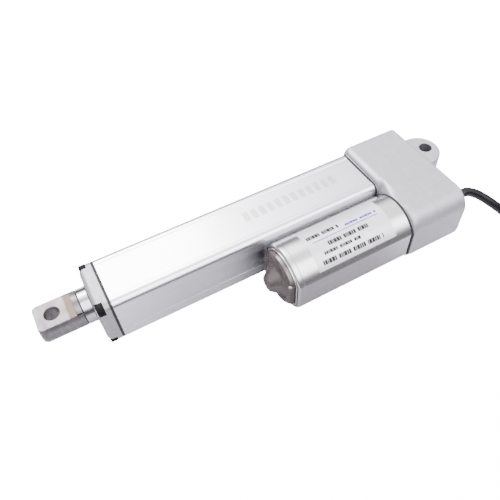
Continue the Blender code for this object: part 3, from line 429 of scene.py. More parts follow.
def circle(cy, cz, radius, count=64):
    return arc(cy, cz, radius, 0, 360 - 360 / count, count)


def rounded_box(low_y, high_y, low_z, high_z, low_r, high_r, count=12):
    return (
        arc(high_y - high_r, high_z - high_r, high_r, 0, 90, count)
        + arc(low_y + low_r, high_z - low_r, low_r, 90, 180, count)
        + arc(low_y + low_r, low_z + low_r, low_r, 180, 270, count)
        + arc(high_y - high_r, low_z + high_r, high_r, 270, 360, count)
    )


def add_spline(curve, points):
    spline = curve.splines.new("POLY")
    spline.points.add(len(points) - 1)
    for point, place in zip(spline.points, points):
        point.co = (*place, 1.0)
    return spline


def evaluated(obj):
    bpy.context.view_layer.update()
    return bpy.data.meshes.new_from_object(obj.evaluated_get(bpy.context.evaluated_depsgraph_get()))


def flat_solid(loops, half, edge, steps, matrix):
    """A flat solid with rounded edges from loops, the first the outline and the rest holes."""
    curve = bpy.data.curves.new("flat", "CURVE")
    curve.dimensions = "2D"
    curve.fill_mode = "BOTH"
    curve.extrude = (half - edge) * MM
    curve.bevel_depth = edge * MM
    curve.bevel_resolution = steps
    curve.offset = -edge * MM
    for loop in loops:
        add_spline(curve, [(x * MM, y * MM, 0.0) for x, y in loop]).use_cyclic_u = True
    obj = link("flat", curve)
    mesh = evaluated(obj)
    bpy.data.objects.remove(obj, do_unlink=True)
    bpy.data.curves.remove(curve)
    mesh.transform(matrix)
    bm = bmesh.new()
    bm.from_mesh(mesh)
    bmesh.ops.remove_doubles(bm, verts=bm.verts, dist=2e-6)
    bmesh.ops.recalc_face_normals(bm, faces=bm.faces)
    bm.to_mesh(mesh)
    bm.free()
    return mesh


def extruded(loops, low_x, high_x, edge):
    """A flat solid between two X values from (y, z) loops."""
    loops = [[(-z, y) for y, z in loop] for loop in loops]
    upright = Matrix.Rotation(math.pi / 2, 4, "Y")
    matrix = Matrix.Translation(world((low_x + high_x) / 2, 0, 0)) @ upright
    return flat_solid(loops, (high_x - low_x) / 2, edge, 2, matrix)


def combined(mesh, cuts=(), joins=(), edge=0.0, edge_angle=50.0):
    """Joins and cuts a mesh with others, then rounds its sharp edges a little."""
    base = link("base", mesh)
    helpers = []
    for operation, others in (("UNION", joins), ("DIFFERENCE", cuts)):
        for other in others:
            helper = link("helper", other)
            helpers.append(helper)
            modifier = base.modifiers.new("boolean", "BOOLEAN")
            modifier.operation = operation
            modifier.solver = "EXACT"
            modifier.object = helper
    if edge:
        weld = base.modifiers.new("weld", "WELD")
        weld.merge_threshold = 0.00002
        modifier = base.modifiers.new("edges", "BEVEL")
        modifier.width = edge * MM
        modifier.segments = 2
        modifier.limit_method = "ANGLE"
        modifier.angle_limit = math.radians(edge_angle)
        modifier.use_clamp_overlap = False
        modifier.miter_outer = "MITER_ARC"
    result = evaluated(base)
    for obj in [base, *helpers]:
        data = obj.data
        bpy.data.objects.remove(obj, do_unlink=True)
        bpy.data.meshes.remove(data)
    return result


def quarter(steps):
    """The sine and one minus the cosine of the steps of a quarter turn."""
    turns = [math.pi / 2 * k / steps for k in range(steps + 1)]
    return [(math.sin(t), 1 - math.cos(t)) for t in turns]


def cylinder(low, high, radius, at, along="X", count=64):
    """A cutter along X at (y, z), or along Z at (x, y)."""
    rings = []
    for value in (low, high):
        loop = circle(*at, radius, count)
        rings.append(in_x(value, loop) if along == "X" else [world(x, y, value) for x, y in loop])
    return loft(rings)


def block(low, high):
    bm = bmesh.new()
    bmesh.ops.create_cube(bm, size=1.0)
    low, high = world(*low), world(*high)
    bmesh.ops.scale(bm, vec=high - low, verts=bm.verts)
    bmesh.ops.translate(bm, vec=(low + high) / 2, verts=bm.verts)
    return mesh_of(bm)


def in_x(x, loop):
    return [world(x, y, z) for y, z in loop]


def merged(meshes):
    bm = bmesh.new()
    for mesh in meshes:
        bm.from_mesh(mesh)
        bpy.data.meshes.remove(mesh)
    return mesh_of(bm)


# --- Camera, light and floor


VIEW_FROM = (-0.9928, 188.7581, 244.7874)
VIEW_RIGHT = (-0.87741587, 0.47785677, -0.04235917)
VIEW_UP = (-0.39683871, -0.67336002, 0.62378307)
VIEW_BACK = (0.269556, 0.56412692, 0.78044883)
LENS = 38.058

def make_camera():
    camera = bpy.data.cameras.new("camera")
    camera.lens = LENS
    camera.sensor_width = 36.0
    obj = link("camera", camera)
    turn = Matrix((VIEW_RIGHT, VIEW_UP, VIEW_BACK)).transposed().to_4x4()
    obj.matrix_world = Matrix.Translation(world(*VIEW_FROM)) @ turn
    bpy.context.scene.camera = obj


# Lobes of the sky: where each starts and ends, as the cosine to its middle, and its low and high strength.
# A strip also has its direction first, and last how much of each axis counts.
SKY_BASE = (0.22, 0.66, 0.22, 3.1)
SKY_STRIPS = (
    ((0, -0.57, 0.82), 0.86, 0.985, 0.0, 6.0, (1, 1, 1)),
    ((0, 0.60, 0.80), 0.86, 0.97, 0.0, 6.4, (0.5, 1, 1)),
)
SKY_COLOR = (0.99, 0.975, 1.03, 1.0)


def make_world():
    """A soft sky, as strips along X: bright over the far side, where the top faces mirror it."""
    sky = bpy.data.worlds.new("studio")
    bpy.context.scene.world = sky
    sky.use_nodes = True
    tree = sky.node_tree
    background = tree.nodes["Background"]
    around = tree.nodes.new("ShaderNodeTexCoord").outputs["Generated"]

    def lobe(direction, start, end, low, high, keep=(1, 1, 1)):
        kept = vector_maths(tree, "MULTIPLY", around, keep)["Vector"]
        unit = vector_maths(tree, "NORMALIZE", kept)["Vector"]
        near = vector_maths(tree, "DOT_PRODUCT", unit, Vector(direction).normalized())["Value"]
        return map_range(tree, near, start, end, low, high, interpolation_type="SMOOTHSTEP")

    total = lobe((0, 0, 1), *SKY_BASE)
    for strip in SKY_STRIPS:
        total = maths(tree, "ADD", total, lobe(*strip))
    tree.links.new(total, background.inputs["Strength"])
    background.inputs["Color"].default_value = SKY_COLOR


KEY_FROM, KEY_TO = (-40, -420, 520), (-90, 0, 0)
KEY_SIZE, KEY_POWER, KEY_COLOR = 0.35, 5.0, (1.0, 0.98, 0.96)


def make_key():
    light = bpy.data.lights.new("key", "AREA")
    light.shape = "DISK"
    light.size = KEY_SIZE
    light.energy = KEY_POWER
    light.color = KEY_COLOR
    place, target = world(*KEY_FROM), world(*KEY_TO)
    aim = (target - place).to_track_quat("-Z", "Y").to_matrix().to_4x4()
    link("key", light).matrix_world = Matrix.Translation(place) @ aim


# The table's colour along X, as (share of FLOOR_SPAN, level), and where and how far it fades along Y: painted
# shade, darker in front of the motor's nose and far out along Y, which the metal mirrors as a painted
# reflection.
FLOOR_SPAN = (-0.15, 0.15)
FLOOR_PAINTED_SHADES = (
    (0.01, 0.50), (0.16, 0.50), (0.33, 0.23), (0.50, 0.20), (0.64, 0.32), (0.85, 0.50), (0.99, 0.46),
)
FLOOR_EDGE = (0.075, 0.14)
FLOOR_PAINTED_FADE = 0.08
FLOOR_GLOW = 16.0
FLOOR_GAP = 0.0002


def make_floor():
    """A white table. What it sends to the lens is its own glow, and what it sends to the metal is dimmer,
    with painted shade along X and Y that the metal mirrors.
    """
    bm = bmesh.new()
    bmesh.ops.create_grid(bm, x_segments=1, y_segments=1, size=6.0)
    mesh = mesh_of(bm)
    mesh.transform(Matrix.Translation((0, 0, CAD_BOX[0].z - FLOOR_GAP)))
    material, tree, shader = shader_nodes("floor_white_painted_shade")
    shader.inputs["Roughness"].default_value = 0.8
    axes = object_axes(tree)
    # Painted shade: the table's colour along X, which the metal mirrors as a painted reflection.
    shade = add_node(tree, "ShaderNodeValToRGB", {"Fac": map_range(tree, axes["X"], *FLOOR_SPAN)})
    shade.color_ramp.interpolation = "EASE"
    for place, level in FLOOR_PAINTED_SHADES:
        shade.color_ramp.elements.new(place).color = (level, level * 0.98, level * 1.04, 1)
    for _ in range(2):
        stops = shade.color_ramp.elements
        stops.remove(next(e for e in stops if e.color[0] in (0.0, 1.0)))
    # Painted shade: the table turns darker far out along Y, which the metal mirrors.
    edge = map_range(tree, axes["Y"], *FLOOR_EDGE, 1.0, FLOOR_PAINTED_FADE, interpolation_type="SMOOTHSTEP")
    inputs = {"Vector": shade.outputs["Color"], "Scale": edge}
    painted_shade = add_node(tree, "ShaderNodeVectorMath", inputs, operation="SCALE")
    tree.links.new(painted_shade.outputs["Vector"], shader.inputs["Base Color"])
    matt = shader.outputs["BSDF"]
    glow = add_node(tree, "ShaderNodeEmission", {"Strength": FLOOR_GLOW}).outputs["Emission"]
    both = add_node(tree, "ShaderNodeAddShader", {0: matt, 1: glow}).outputs["Shader"]
    path = tree.nodes.new("ShaderNodeLightPath")
    mix = add_node(tree, "ShaderNodeMixShader", {"Fac": path.outputs["Is Camera Ray"], 1: matt, 2: both})
    tree.links.new(mix.outputs["Shader"], tree.nodes["Material Output"].inputs["Surface"])
    mesh.materials.append(material)
    link("floor", mesh)


# --- Cord

CORD_R = 2.8
CORD_EXIT = (GROMMET_LOW.x - 0.3, 45.0, 8.5)
LEAD_ROUTE = [
    CORD_EXIT, (-216.7, 45.0, 8.5), (-221.0, 45.6, 7.6), (-227.0, 48.9, 4.6), (-232.6, 54.0, 0.4),
    (-238.5, 59.6, -5.0), (-243.5, 64.5, -10.5), (-248.5, 69.5, -14.8), (-252.2, 73.3, -16.7),
    (-255.4, 76.5, -17.1), (-260.5, 81.6, -17.1), (-266.5, 87.6, -16.9),
]
COIL_X = (COIL_LOW.x + COIL_HIGH.x) / 2
COIL_Y = (COIL_LOW.y + COIL_HIGH.y) / 2
OUTER_TURN_R, INNER_TURN_R, END_TURN_R = 33.8, 28.2, 31.0
LOW_TURN_Z = COIL_LOW.z + CORD_R + 0.05
HIGH_TURN_Z = COIL_HIGH.z - CORD_R - 0.05
END_TURN_Z = PLUG_LOW.z + CORD_R
COIL_START, COIL_END, COIL_STEP = 45.0, 1440.0, 15.0
COIL_OUTER = (COIL_HIGH.x - COIL_LOW.x) / 2
COIL_INNER = COIL_OUTER - 11.6


def eased(value, start, end, low, high):
    t = min(1.0, max(0.0, (value - start) / (end - start)))
    return low + (high - low) * t * t * (3 - 2 * t)


def coil_place(angle):
    """The cord's centreline at an angle of its winding: two turns out and in below, then in and out above."""
    radius = OUTER_TURN_R
    radius += eased(angle, 335, 385, 0, INNER_TURN_R - OUTER_TURN_R)
    radius += eased(angle, 1000, 1045, 0, OUTER_TURN_R - INNER_TURN_R)
    radius += eased(angle, 1305, 1385, 0, END_TURN_R - OUTER_TURN_R)
    height = LOW_TURN_Z
    height += eased(angle, 680, 715, 0, HIGH_TURN_Z - LOW_TURN_Z)
    height += eased(angle, 1308, 1352, 0, END_TURN_Z - HIGH_TURN_Z)
    turn = math.radians(angle)
    return (COIL_X + radius * math.cos(turn), COIL_Y + radius * math.sin(turn), height)


def catmull(points, per_span):
    """A smooth curve through points, with an equal number of steps in each span."""
    points = [Vector(p) for p in points]
    padded = [points[0] * 2 - points[1]] + points + [points[-1] * 2 - points[-2]]
    out = []
    for a, b, c, d in zip(padded, padded[1:], padded[2:], padded[3:]):
        for i in range(per_span):
            t = i / per_span
            term = 2 * b + (c - a) * t + (2 * a - 5 * b + 4 * c - d) * t * t
            out.append((term + (3 * b - 3 * c + d - a) * t * t * t) / 2)
    return out + [points[-1]]


def make_cord():
    route = [Vector(p) for p in LEAD_ROUTE]
    angle = COIL_START
    while angle <= COIL_END + 0.1:
        route.append(Vector(coil_place(angle)))
        angle += COIL_STEP
    line = catmull(route, 4)
    curve = bpy.data.curves.new("power_cord", "CURVE")
    curve.dimensions = "3D"
    curve.bevel_depth = CORD_R * MM
    curve.bevel_resolution = 6
    curve.use_fill_caps = True
    add_spline(curve, [world(*place) for place in line]).use_smooth = True
    cord = link("power_cord", curve)
    curve.materials.append(FINISH["jacket"])
    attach(cord, "housing")
    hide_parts("power_cord_lead", "power_cord_coil", "power_cord_end")
    tie = make_tie()
    plug = make_plug()


def make_tie():
    """A nylon strap round the coil with its locking head on top, square to the turns."""
    gap, thick = 0.15, 0.75
    inner = (COIL_INNER - gap, COIL_OUTER + gap, COIL_LOW.z - gap, COIL_HIGH.z + gap)
    outer = (inner[0] - thick, inner[1] + thick, inner[2] - thick, inner[3] + thick)
    top = COIL_HIGH.z
    parts = [
        extruded([rounded_box(*outer, 2.3, 2.3), rounded_box(*inner, 1.6, 1.6)], -2.0, 2.0, 0.2),
        extruded([rounded_box(28.2, 33.6, top + 0.2, top + 3.4, 0.8, 0.8)], -2.9, 2.9, 0.3),
        extruded([rounded_box(33.0, 38.6, top + 1.6, top + 2.4, 0.3, 0.3)], -1.7, 1.7, 0.15),
    ]
    for part in parts:
        part.transform(Matrix.Translation(-ORIGIN))
    mesh = merged(parts)
    mesh.transform(Matrix.Translation(world(COIL_X, COIL_Y, 0)) @ Matrix.Rotation(math.radians(45), 4, "Z"))
    return piece("coil_tie", mesh, "nylon", ("cord_coil_tie",))


def make_plug():
    """A two-way plug housing: a stepped shell with side ribs, a latch and two contact mouths."""
    (x0, y0, z0), (x1, y1, z1) = PLUG_LOW, PLUG_HIGH
    mid_x, mid_z = (x0 + x1) / 2, (z0 + z1) / 2
    contact_x, soft = 2.5, 0.35

    def shell(low_y, high_y, inset, edge):
        loop = rounded_box(x0 + inset, x1 - inset, z0 + inset * 0.4, z1 - inset * 0.6, edge, edge, 6)
        rings = []
        for y, trim in ((low_y, soft), (low_y + soft, 0), (high_y - soft, 0), (high_y, soft)):
            thin, low = 1 - trim / 5, 1 - trim / 4
            rings.append([world(mid_x + (x - mid_x) * thin, y, mid_z + (z - mid_z) * low) for x, z in loop])
        return loft(rings)

    body = shell(y0, y1 - 6.0, 0.0, 1.2)
    nose = shell(y1 - 6.3, y1, 0.7, 0.9)
    ribs = [block((x0, y0 + 2 + 2.2 * k, z0 + 1.2), (x1, y0 + 3 + 2.2 * k, z1 - 1.0)) for k in range(4)]
    latch = block((mid_x - 1.6, y0 + 3, z1 - 0.4), (mid_x + 1.6, y1 - 3, z1 + 0.5))
    mouths = []
    for sign in (-1, 1):
        x = mid_x + sign * contact_x
        mouths.append(block((x - 1.3, y1 - 8, z0 + 1.8), (x + 1.3, y1 + 1, z1 - 2.0)))
    mesh = combined(body, mouths, [nose, *ribs, latch], 0.15)
    plug = piece("cord_plug_shell", mesh, "plug", ("cord_plug",))
    for sign, side in ((-1, "right"), (1, "left")):
        x = mid_x + sign * contact_x
        loop = rounded_box(x - 0.9, x + 0.9, z0 + 2.2, z1 - 2.4, 0.3, 0.3, 3)
        bar = loft([[world(x, y, z) for x, z in loop] for y in (y1 - 7.6, y1 - 1.6)])
        piece(f"plug_contact_{side}", bar, "brass")
    return plug


# --- Tube, cap and front seal

RECESS = 0.3
MARK_X, MARK_PITCH, MARK_WIDE, MARK_COUNT = -88.0, 5.4, 3.6, 12


def tube_outline():
    """The extrusion's outline, with a shallow recess along each face and fine grooves beside it."""
    inset = TUBE_CORNER_R + 1.1
    low_y, high_y, half_z = TUBE_LOW.y, TUBE_HIGH.y, TUBE_HIGH.z
    corners = rounded_box(low_y, high_y, -half_z, half_z, TUBE_CORNER_R, TUBE_CORNER_R)
    count = len(corners) // 4
    side = 7.0
    slope = (0.0, 0.12, 0.3, 0.42)

    def dip(start, end, normal):
        start, end, normal = Vector(start), Vector(end), Vector(normal)
        along = (end - start).normalized()
        inner = [start + along * t - normal * RECESS * t / slope[-1] for t in slope]
        inner += [end - along * t - normal * RECESS * t / slope[-1] for t in reversed(slope)]
        return [tuple(p) for p in inner]

    dips = (
        dip((high_y - inset, half_z), (low_y + inset, half_z), (0, 1)),
        dip((low_y, side), (low_y, -side), (-1, 0)),
        dip((low_y + inset, -half_z), (high_y - inset, -half_z), (0, -1)),
        dip((high_y, -side), (high_y, side), (1, 0)),
    )
    outline = []
    for k, points in enumerate(dips):
        outline += corners[k * count : (k + 1) * count] + points
    return outline


def section_outline(inset=0.0):
    radius = max(TUBE_CORNER_R - inset, 0.4)
    low, high = TUBE_LOW, TUBE_HIGH
    return rounded_box(low.y + inset, high.y - inset, low.z + inset, high.z - inset, radius, radius)


def bore_outline():
    """The round bore with the sensor channel beside it."""
    depth_y, half_z = 18.2, 5.0
    angle = math.degrees(math.asin(half_z / TUBE_BORE_R))
    return arc(0, 0, TUBE_BORE_R, angle, 360 - angle, 64) + [(depth_y, -half_z), (depth_y, half_z)]


def screw_ports():
    return [circle(y, z, SHANK_HOLE_R, 24) for y in SCREW_Y for z in (-SCREW_Z, SCREW_Z)]


def make_tube():
    loops = [tube_outline(), bore_outline()] + screw_ports()
    mesh = extruded(loops, TUBE_LOW.x, TUBE_HIGH.x, 0.12)
    piece("tube_extrusion", mesh, "tube", ("outer_tube",), 20)
    top = TUBE_HIGH.z - RECESS
    marks = []
    for k in range(MARK_COUNT):
        right = MARK_X - MARK_PITCH * k
        marks.append(block((right - MARK_WIDE, -2.6, top - 0.05), (right, 4.6, top + 0.02)))
    piece("tube_mark", merged(marks), "mark", weighted=False)


def make_front_cap():
    edge = 2.6
    back_x, front_x = CAP_LOW.x, CAP_HIGH.x
    rings = [in_x(x, section_outline(inset)) for inset, x in ((0.15, back_x), (0.0, back_x + 0.15))]
    for out, drop in quarter(8):
        rings.append(in_x(front_x - edge + edge * out, section_outline(edge * drop * 0.9)))
    cuts = [cylinder(back_x - 2, 6.9, 12.3, (0, 0)), cylinder(6, front_x + 2, 11.6, (0, 0))]
    for y in SCREW_Y:
        for z in (-SCREW_Z, SCREW_Z):
            cuts.append(cylinder(3.6, front_x + 2, HEAD_HOLE_R, (y, z)))
            cuts.append(cylinder(back_x - 2, 5, SHANK_HOLE_R, (y, z), count=32))
    mesh = combined(loft(rings), cuts, edge=0.15)
    piece("front_cap_shell", mesh, "cap_casting", ("front_cap",))
    low, high = spans("front_gasket")
    loops = [section_outline(), circle(0, 0, TUBE_BORE_R)] + screw_ports()
    mesh = extruded(loops, low.x - GASKET_PROUD, high.x + GASKET_PROUD, GASKET_EDGE)
    piece("front_gasket_sheet", mesh, "rubber", ("front_gasket",))
    profile = [
        (SEAL_HIGH.x, ROD_R + 0.12), (SEAL_HIGH.x, 11.0, 0.2), (6.9, 11.4, 0.3), (6.6, 12.0, 0.15),
        (3.5, 12.0, 0.15), (3.5, ROD_R + 0.5, 0.15), (6.0, ROD_R + 0.5),
    ]
    mesh = turned(rounded(profile, 3), ring=True)
    piece("wiper_lip", mesh, "rubber", ("rod_wiper_seal",))


def socket_screw(seat_x, at, facing, length):
    """A socket head cap screw: a knurled head with a chamfered rim and a hexagon socket, and a thread."""
    knurls = 32
    segments = knurls * 4
    root_r, crest_r, pitch = 1.5, 1.8, 0.7
    top = HEAD_HEIGHT
    # Stations from the socket's floor out over the head and down to the tip: distance from the seat, radius,
    # and the knurl's depth, or "hex" on the socket's walls.
    stations = [
        (top - 2.3, 0.02, 0), (top - 2.3, 1.45, "hex"), (top - 0.15, 1.45, "hex"), (top, 1.9, 0),
        (top, HEAD_R - 0.5, 0), (top - 0.14, HEAD_R - 0.22, 0), (top - 0.45, HEAD_R, 0.16),
        (0.35, HEAD_R, 0.16), (0.1, HEAD_R - 0.2, 0), (0.02, HEAD_R - 0.3, 0), (0.02, 1.95, 0),
        (-0.3, crest_r, 0),
    ]
    x = -0.6
    while x > -length + pitch:
        stations += [(x, crest_r, 0), (x - pitch / 2, root_r, 0)]
        x -= pitch
    stations += [(-length + 0.3, root_r, 0), (-length, 1.2, 0), (-length, 0.02, 0)]
    rings = []
    for x, radius, kind in stations:
        loop = []
        for k in range(segments):
            angle = 2 * math.pi * k / segments
            if kind == "hex":
                r = radius / math.cos((angle + math.pi / 6) % (math.pi / 3) - math.pi / 6)
            else:
                r = radius - kind * (0.5 - 0.5 * math.cos(angle * knurls))
            loop.append(world(seat_x + facing * x, at[0] + r * math.cos(angle), at[1] + r * math.sin(angle)))
        rings.append(loop)
    return loft(rings)


def make_screws():
    for names, facing, length in ((CAP_SCREWS, 1, 14.0), (COVER_SCREWS, -1, 20.0)):
        for name in names:
            low, high = spans(name)
            seat_x = high.x - HEAD_HEIGHT if facing > 0 else low.x + HEAD_HEIGHT
            mesh = socket_screw(seat_x, centre_yz(name), facing, length)
            piece(f"{name}_steel", mesh, "black_steel", (name,), 38, False)


# --- Gearbox


def double_d(radius, flat, count=64):
    angle = math.degrees(math.acos(min(1.0, flat / radius)))
    return arc(0, 0, radius, angle, 180 - angle, count) + arc(0, 0, radius, 180 + angle, 360 - angle, count)


def reach(outline, centre, angle):
    """How far a ray from centre travels at an angle before it leaves the outline for good."""
    cy, cz = centre
    dy, dz = math.cos(angle), math.sin(angle)
    best = 0.0
    for (ay, az), (by, bz) in zip(outline, outline[1:] + outline[:1]):
        ey, ez = by - ay, bz - az
        det = ey * dz - ez * dy
        if abs(det) < 1e-12:
            continue
        py, pz = ay - cy, az - cz
        along = (ey * pz - ez * py) / det
        share = (dy * pz - dz * py) / det
        if -1e-9 <= share <= 1 + 1e-9:
            best = max(best, along)
    return best


def block_outline(inset=0.0):
    """The gearbox's section, with small corners on the tube's side and large ones on the motor's."""
    low, high = HOUSING_LOW, HOUSING_HIGH
    far_r, near_r = max(3.8 - inset, 0.4), 12.5 - inset
    return rounded_box(low.y + inset, high.y - inset, low.z + inset, high.z - inset, far_r, near_r, 20)


SEAM_Y = TUBE_HIGH.y + 1.2


def seam_outlines():
    motor = [(y + MOTOR_Y, z) for y, z in double_d(20.0, HOUSING_HIGH.y - MOTOR_Y)]
    return section_outline(), motor


def seam_angles(outlines):
    angles = {2 * math.pi * k / 180 for k in range(180)}
    for outline in outlines:
        angles |= {math.atan2(z, y - SEAM_Y) % (2 * math.pi) for y, z in outline}
    kept = []
    for angle in sorted(angles):
        if not kept or angle - kept[-1] > math.radians(0.35):
            kept.append(angle)
    return kept


def seam_loop(angles, share, inset=0.0):
    """A ring of the gearbox's front: share 0 follows the tube and the motor, share 1 the plain block."""
    tube, motor = seam_outlines()
    blockish = block_outline()
    loop = []
    for angle in angles:
        near, far = (
            max(reach(outline, (SEAM_Y, 0.0), angle) for outline in outlines)
            for outlines in ((tube, motor), (blockish,))
        )
        r = near + (far - near) * share - inset
        loop.append((SEAM_Y + r * math.cos(angle), r * math.sin(angle)))
    return loop


def make_housing():
    """The front casting: its face follows the tube and the motor and swells into the block behind."""
    angles = seam_angles((*seam_outlines(), block_outline()))
    fillet_x, soft = 4.6, 0.25
    front = HOUSING_HIGH.x
    rings = [in_x(front, seam_loop(angles, 0.0, soft)), in_x(front - soft, seam_loop(angles, 0.0))]
    for out, drop in quarter(12)[1:]:
        rings.append(in_x(front - soft - fillet_x * drop, seam_loop(angles, out)))
    back = PARTING_X + 0.02
    rings.append(in_x(back + 0.06, seam_loop(angles, 1.0)))
    rings.append(in_x(back, seam_loop(angles, 1.0, 0.06)))
    behind, pocket_x, seat_x = PARTING_X - 2, -180.9, -173.3
    cuts = [
        cylinder(-175, -165, 6.5, (0, 0)),
        cylinder(behind, seat_x, 11.1, (0, 0)),
        cylinder(behind, pocket_x, 13.2, (0, 0)),
        cylinder(behind, pocket_x, 8.0, (IDLER_Y, 0)),
        cylinder(-183, -176, AXLE_HOLE_R, (IDLER_Y, 0), count=32),
        cylinder(behind, -165, 5.4, (MOTOR_Y, 0)),
    ]
    mesh = combined(loft(rings), cuts)
    piece("gearbox_front_casting", mesh, "casting", ("gearbox_housing",), 26)
    low, high = spans("rear_gasket")
    loops = [seam_loop(angles, 0.0, 0.05), circle(0, 0, 8.0), circle(MOTOR_Y, 0, 15.0)]
    mesh = extruded(loops, low.x - GASKET_PROUD, high.x + GASKET_PROUD, GASKET_EDGE)
    piece("rear_gasket_sheet", mesh, "rubber", ("rear_gasket",))


def ear_solid():
    """The mounting ear: a round nose, parallel sides and a small fillet where they meet the cover."""
    fillet, edge = 3.5, 1.2
    root_x = COVER_BACK_X
    nose = arc(EAR_CENTRE_X, 0, EAR_R, 90, 270, 41)
    below = arc(root_x - fillet, -EAR_R - fillet, fillet, 90, 0, 9)
    above = [(x, -y) for x, y in reversed(below)]
    outline = nose + below + [(root_x + 3, below[-1][1]), (root_x + 3, above[0][1])] + above
    return flat_solid([outline], EAR_HALF_Z, edge, 4, Matrix.Translation(ORIGIN))


def make_cover():
    """The back casting: a rounded block with the ear, hollow for the gears, and four screws from behind."""
    edge = 1.9
    front = PARTING_X - 0.02
    rings = [in_x(front, block_outline(0.06)), in_x(front - 0.06, block_outline())]
    for out, drop in quarter(10):
        rings.append(in_x(COVER_BACK_X + edge - edge * out, block_outline(edge * drop)))
    ahead, behind = front + 2, -210
    cuts = [
        cylinder(-10.15, 10.15, EYE_R, (EAR_EYE_X, 0), "Z"),
        cylinder(-191, ahead, 12.4, (0, 0)),
        cylinder(-200, ahead, 16.3, (IDLER_Y, 0)),
        cylinder(-200, ahead, 8.6, (MOTOR_Y, 0)),
        cylinder(-204, -198, AXLE_HOLE_R, (IDLER_Y, 0), count=32),
        cylinder(behind, ahead, 4.7, GROMMET_AT, count=48),
    ]
    for name in COVER_SCREWS:
        at = centre_yz(name)
        cuts.append(cylinder(behind, spans(name)[0].x + HEAD_HEIGHT, HEAD_HOLE_R, at, count=48))
        cuts.append(cylinder(behind, ahead, SHANK_HOLE_R, at, count=32))
    mesh = combined(loft(rings), cuts, [ear_solid()], 0.25)
    piece("gearbox_cover_casting", mesh, "casting", ("gearbox_cover",), 26)


def make_grommet():
    """The cord's boot: a flange on the cover and a ribbed taper."""
    nose_x = GROMMET_LOW.x
    back = COVER_BACK_X
    points = [
        (back + 5, CORD_R + 0.02), (back + 5, 4.6, 0.2), (back - 0.1, 4.6), (back - 0.1, 7.3, 0.2),
        (back - 1.6, 7.3, 0.5), (back - 2.1, 5.6, 0.4),
    ]
    x = back - 2.4
    r = 5.0
    while x - 1.2 > nose_x:
        points += [(x, r, 0.15), (x - 0.6, r - 0.05, 0.15), (x - 0.6, r - 0.5, 0.1), (x - 1.0, r - 0.55, 0.1)]
        x -= 1.0
        r -= 0.2
    points += [(nose_x, 3.7, 0.3), (nose_x, CORD_R + 0.02)]
    mesh = turned(rounded(points, 3), GROMMET_AT, 64, ring=True)
    piece("grommet_boot", mesh, "rubber", ("cord_grommet",))


# --- Motor


def polar_section(radius, flat, count=144):
    """A ring round the motor's axis, trimmed by the two flats."""
    loop = []
    for k in range(count):
        angle = 2 * math.pi * k / count
        limit = flat / max(1e-6, abs(math.cos(angle)))
        r = min(radius, limit)
        loop.append((MOTOR_Y + r * math.cos(angle), r * math.sin(angle)))
    return loop


def can_section(inset):
    loop = double_d(CAN_R - inset, CAN_FLAT - inset, 56)
    return [(MOTOR_Y + y, z) for y, z in loop]


def make_motor():
    """The can, its rolled rear rim, and the pressed end cover with its central boss."""
    wall, lip = 1.6, 1.3
    front = CAN_HIGH.x
    rings = [in_x(CAN_LOW.x, can_section(0.15)), in_x(CAN_LOW.x + 0.15, can_section(0.0))]
    for back, inset in ((3.6, 0.0), (3.4, 0.18), (3.1, 0.18), (2.9, 0.0)):
        rings.append(in_x(front - back, can_section(inset)))
    for out, drop in quarter(6):
        rings.append(in_x(front - lip + lip * out, can_section(lip * drop)))
    for back, inset in ((0.0, 1.45), (0.12, 1.58), (0.9, 1.62), (1.6, wall + 0.05)):
        rings.append(in_x(front - back, can_section(inset)))
    rings.append(in_x(CAN_LOW.x, can_section(wall)))
    mesh = loft(rings, closed=True)
    piece("motor_can_shell", mesh, "can", ("motor_can",), 24)
    rim = rounded([(-93.8, 1.9), (-91.7, 1.9, 0.4), (-91.7, 3.3, 0.3), (-93.8, 3.3)], 4)
    mesh = loft([in_x(x, can_section(inset)) for x, inset in rim], closed=True)
    piece("end_bell_rim", mesh, "can", angle=24)
    flat = CAN_FLAT - 3.5
    face = [
        (-82.3, 0.02), (-82.3, 1.6), (-81.8, 2.0), (-81.9, 4.5, 0.8), (-88.1, 9.4, 1.0),
        (-88.7, 10.9, 0.5), (-88.1, 12.3, 0.5), (-88.4, 14.6, 0.7), (-89.8, 16.0, 0.4),
        (-91.0, 16.4, 0.4), (-94.0, 16.4, 0.3), (-94.0, 4.5), (-90.9, 4.5), (-90.9, 0.02),
    ]
    mesh = loft([in_x(x, polar_section(r, flat)) for x, r in rounded(face)])
    piece("end_bell_pressing", mesh, "bell", ("motor_end_bell",), 26)


def make_bell_screws():
    """Two small pan head screws with a slot, which hold the end bell to the can."""
    profile = rounded([(-88.3, 0.0), (-88.3, 0.9, 0.35), (-89.6, 1.15, 0.1), (-92.6, 1.15), (-92.6, 0.0)], 4)
    half_slot = 0.16
    for name, inward in (("near", -0.7), ("far", 0.7)):
        node = f"end_bell_screw_{name}"
        y, z = centre_yz(node)
        y += inward
        slot = block((-88.7, y - 2, z - half_slot), (-87.0, y + 2, z + half_slot))
        mesh = combined(turned(profile, (y, z), 32), [slot])
        piece(f"bell_screw_{name}", mesh, "sintered", (node,))


LABEL_LOW_X, LABEL_HIGH_X = -158.0, -106.5
LABEL_ANGLES = (38.0, 118.0)
LABEL_MARGIN = 5
LABEL_LIFT, PRINT_LIFT, FILM = 0.05, 0.09, 0.05
# Each row of bars: its angle, its height in degrees, where it starts and ends along the label, and its ink.
LABEL_ROWS = (
    (97.0, 7.6, -0.07, 0.44, "ink"), (92.5, 4.4, 0.52, 1.0, "blue"), (75.0, 7.4, 0.16, 0.80, "ink"),
    (62.5, 5.4, 0.04, 0.62, "ink"), (49.0, 7.6, -0.03, 0.92, "ink"),
)
BAR_WIDTHS = (1.0, 1.7, 0.7, 1.3)
BAR_GAP, WORD_GAP = 0.24, 1.6


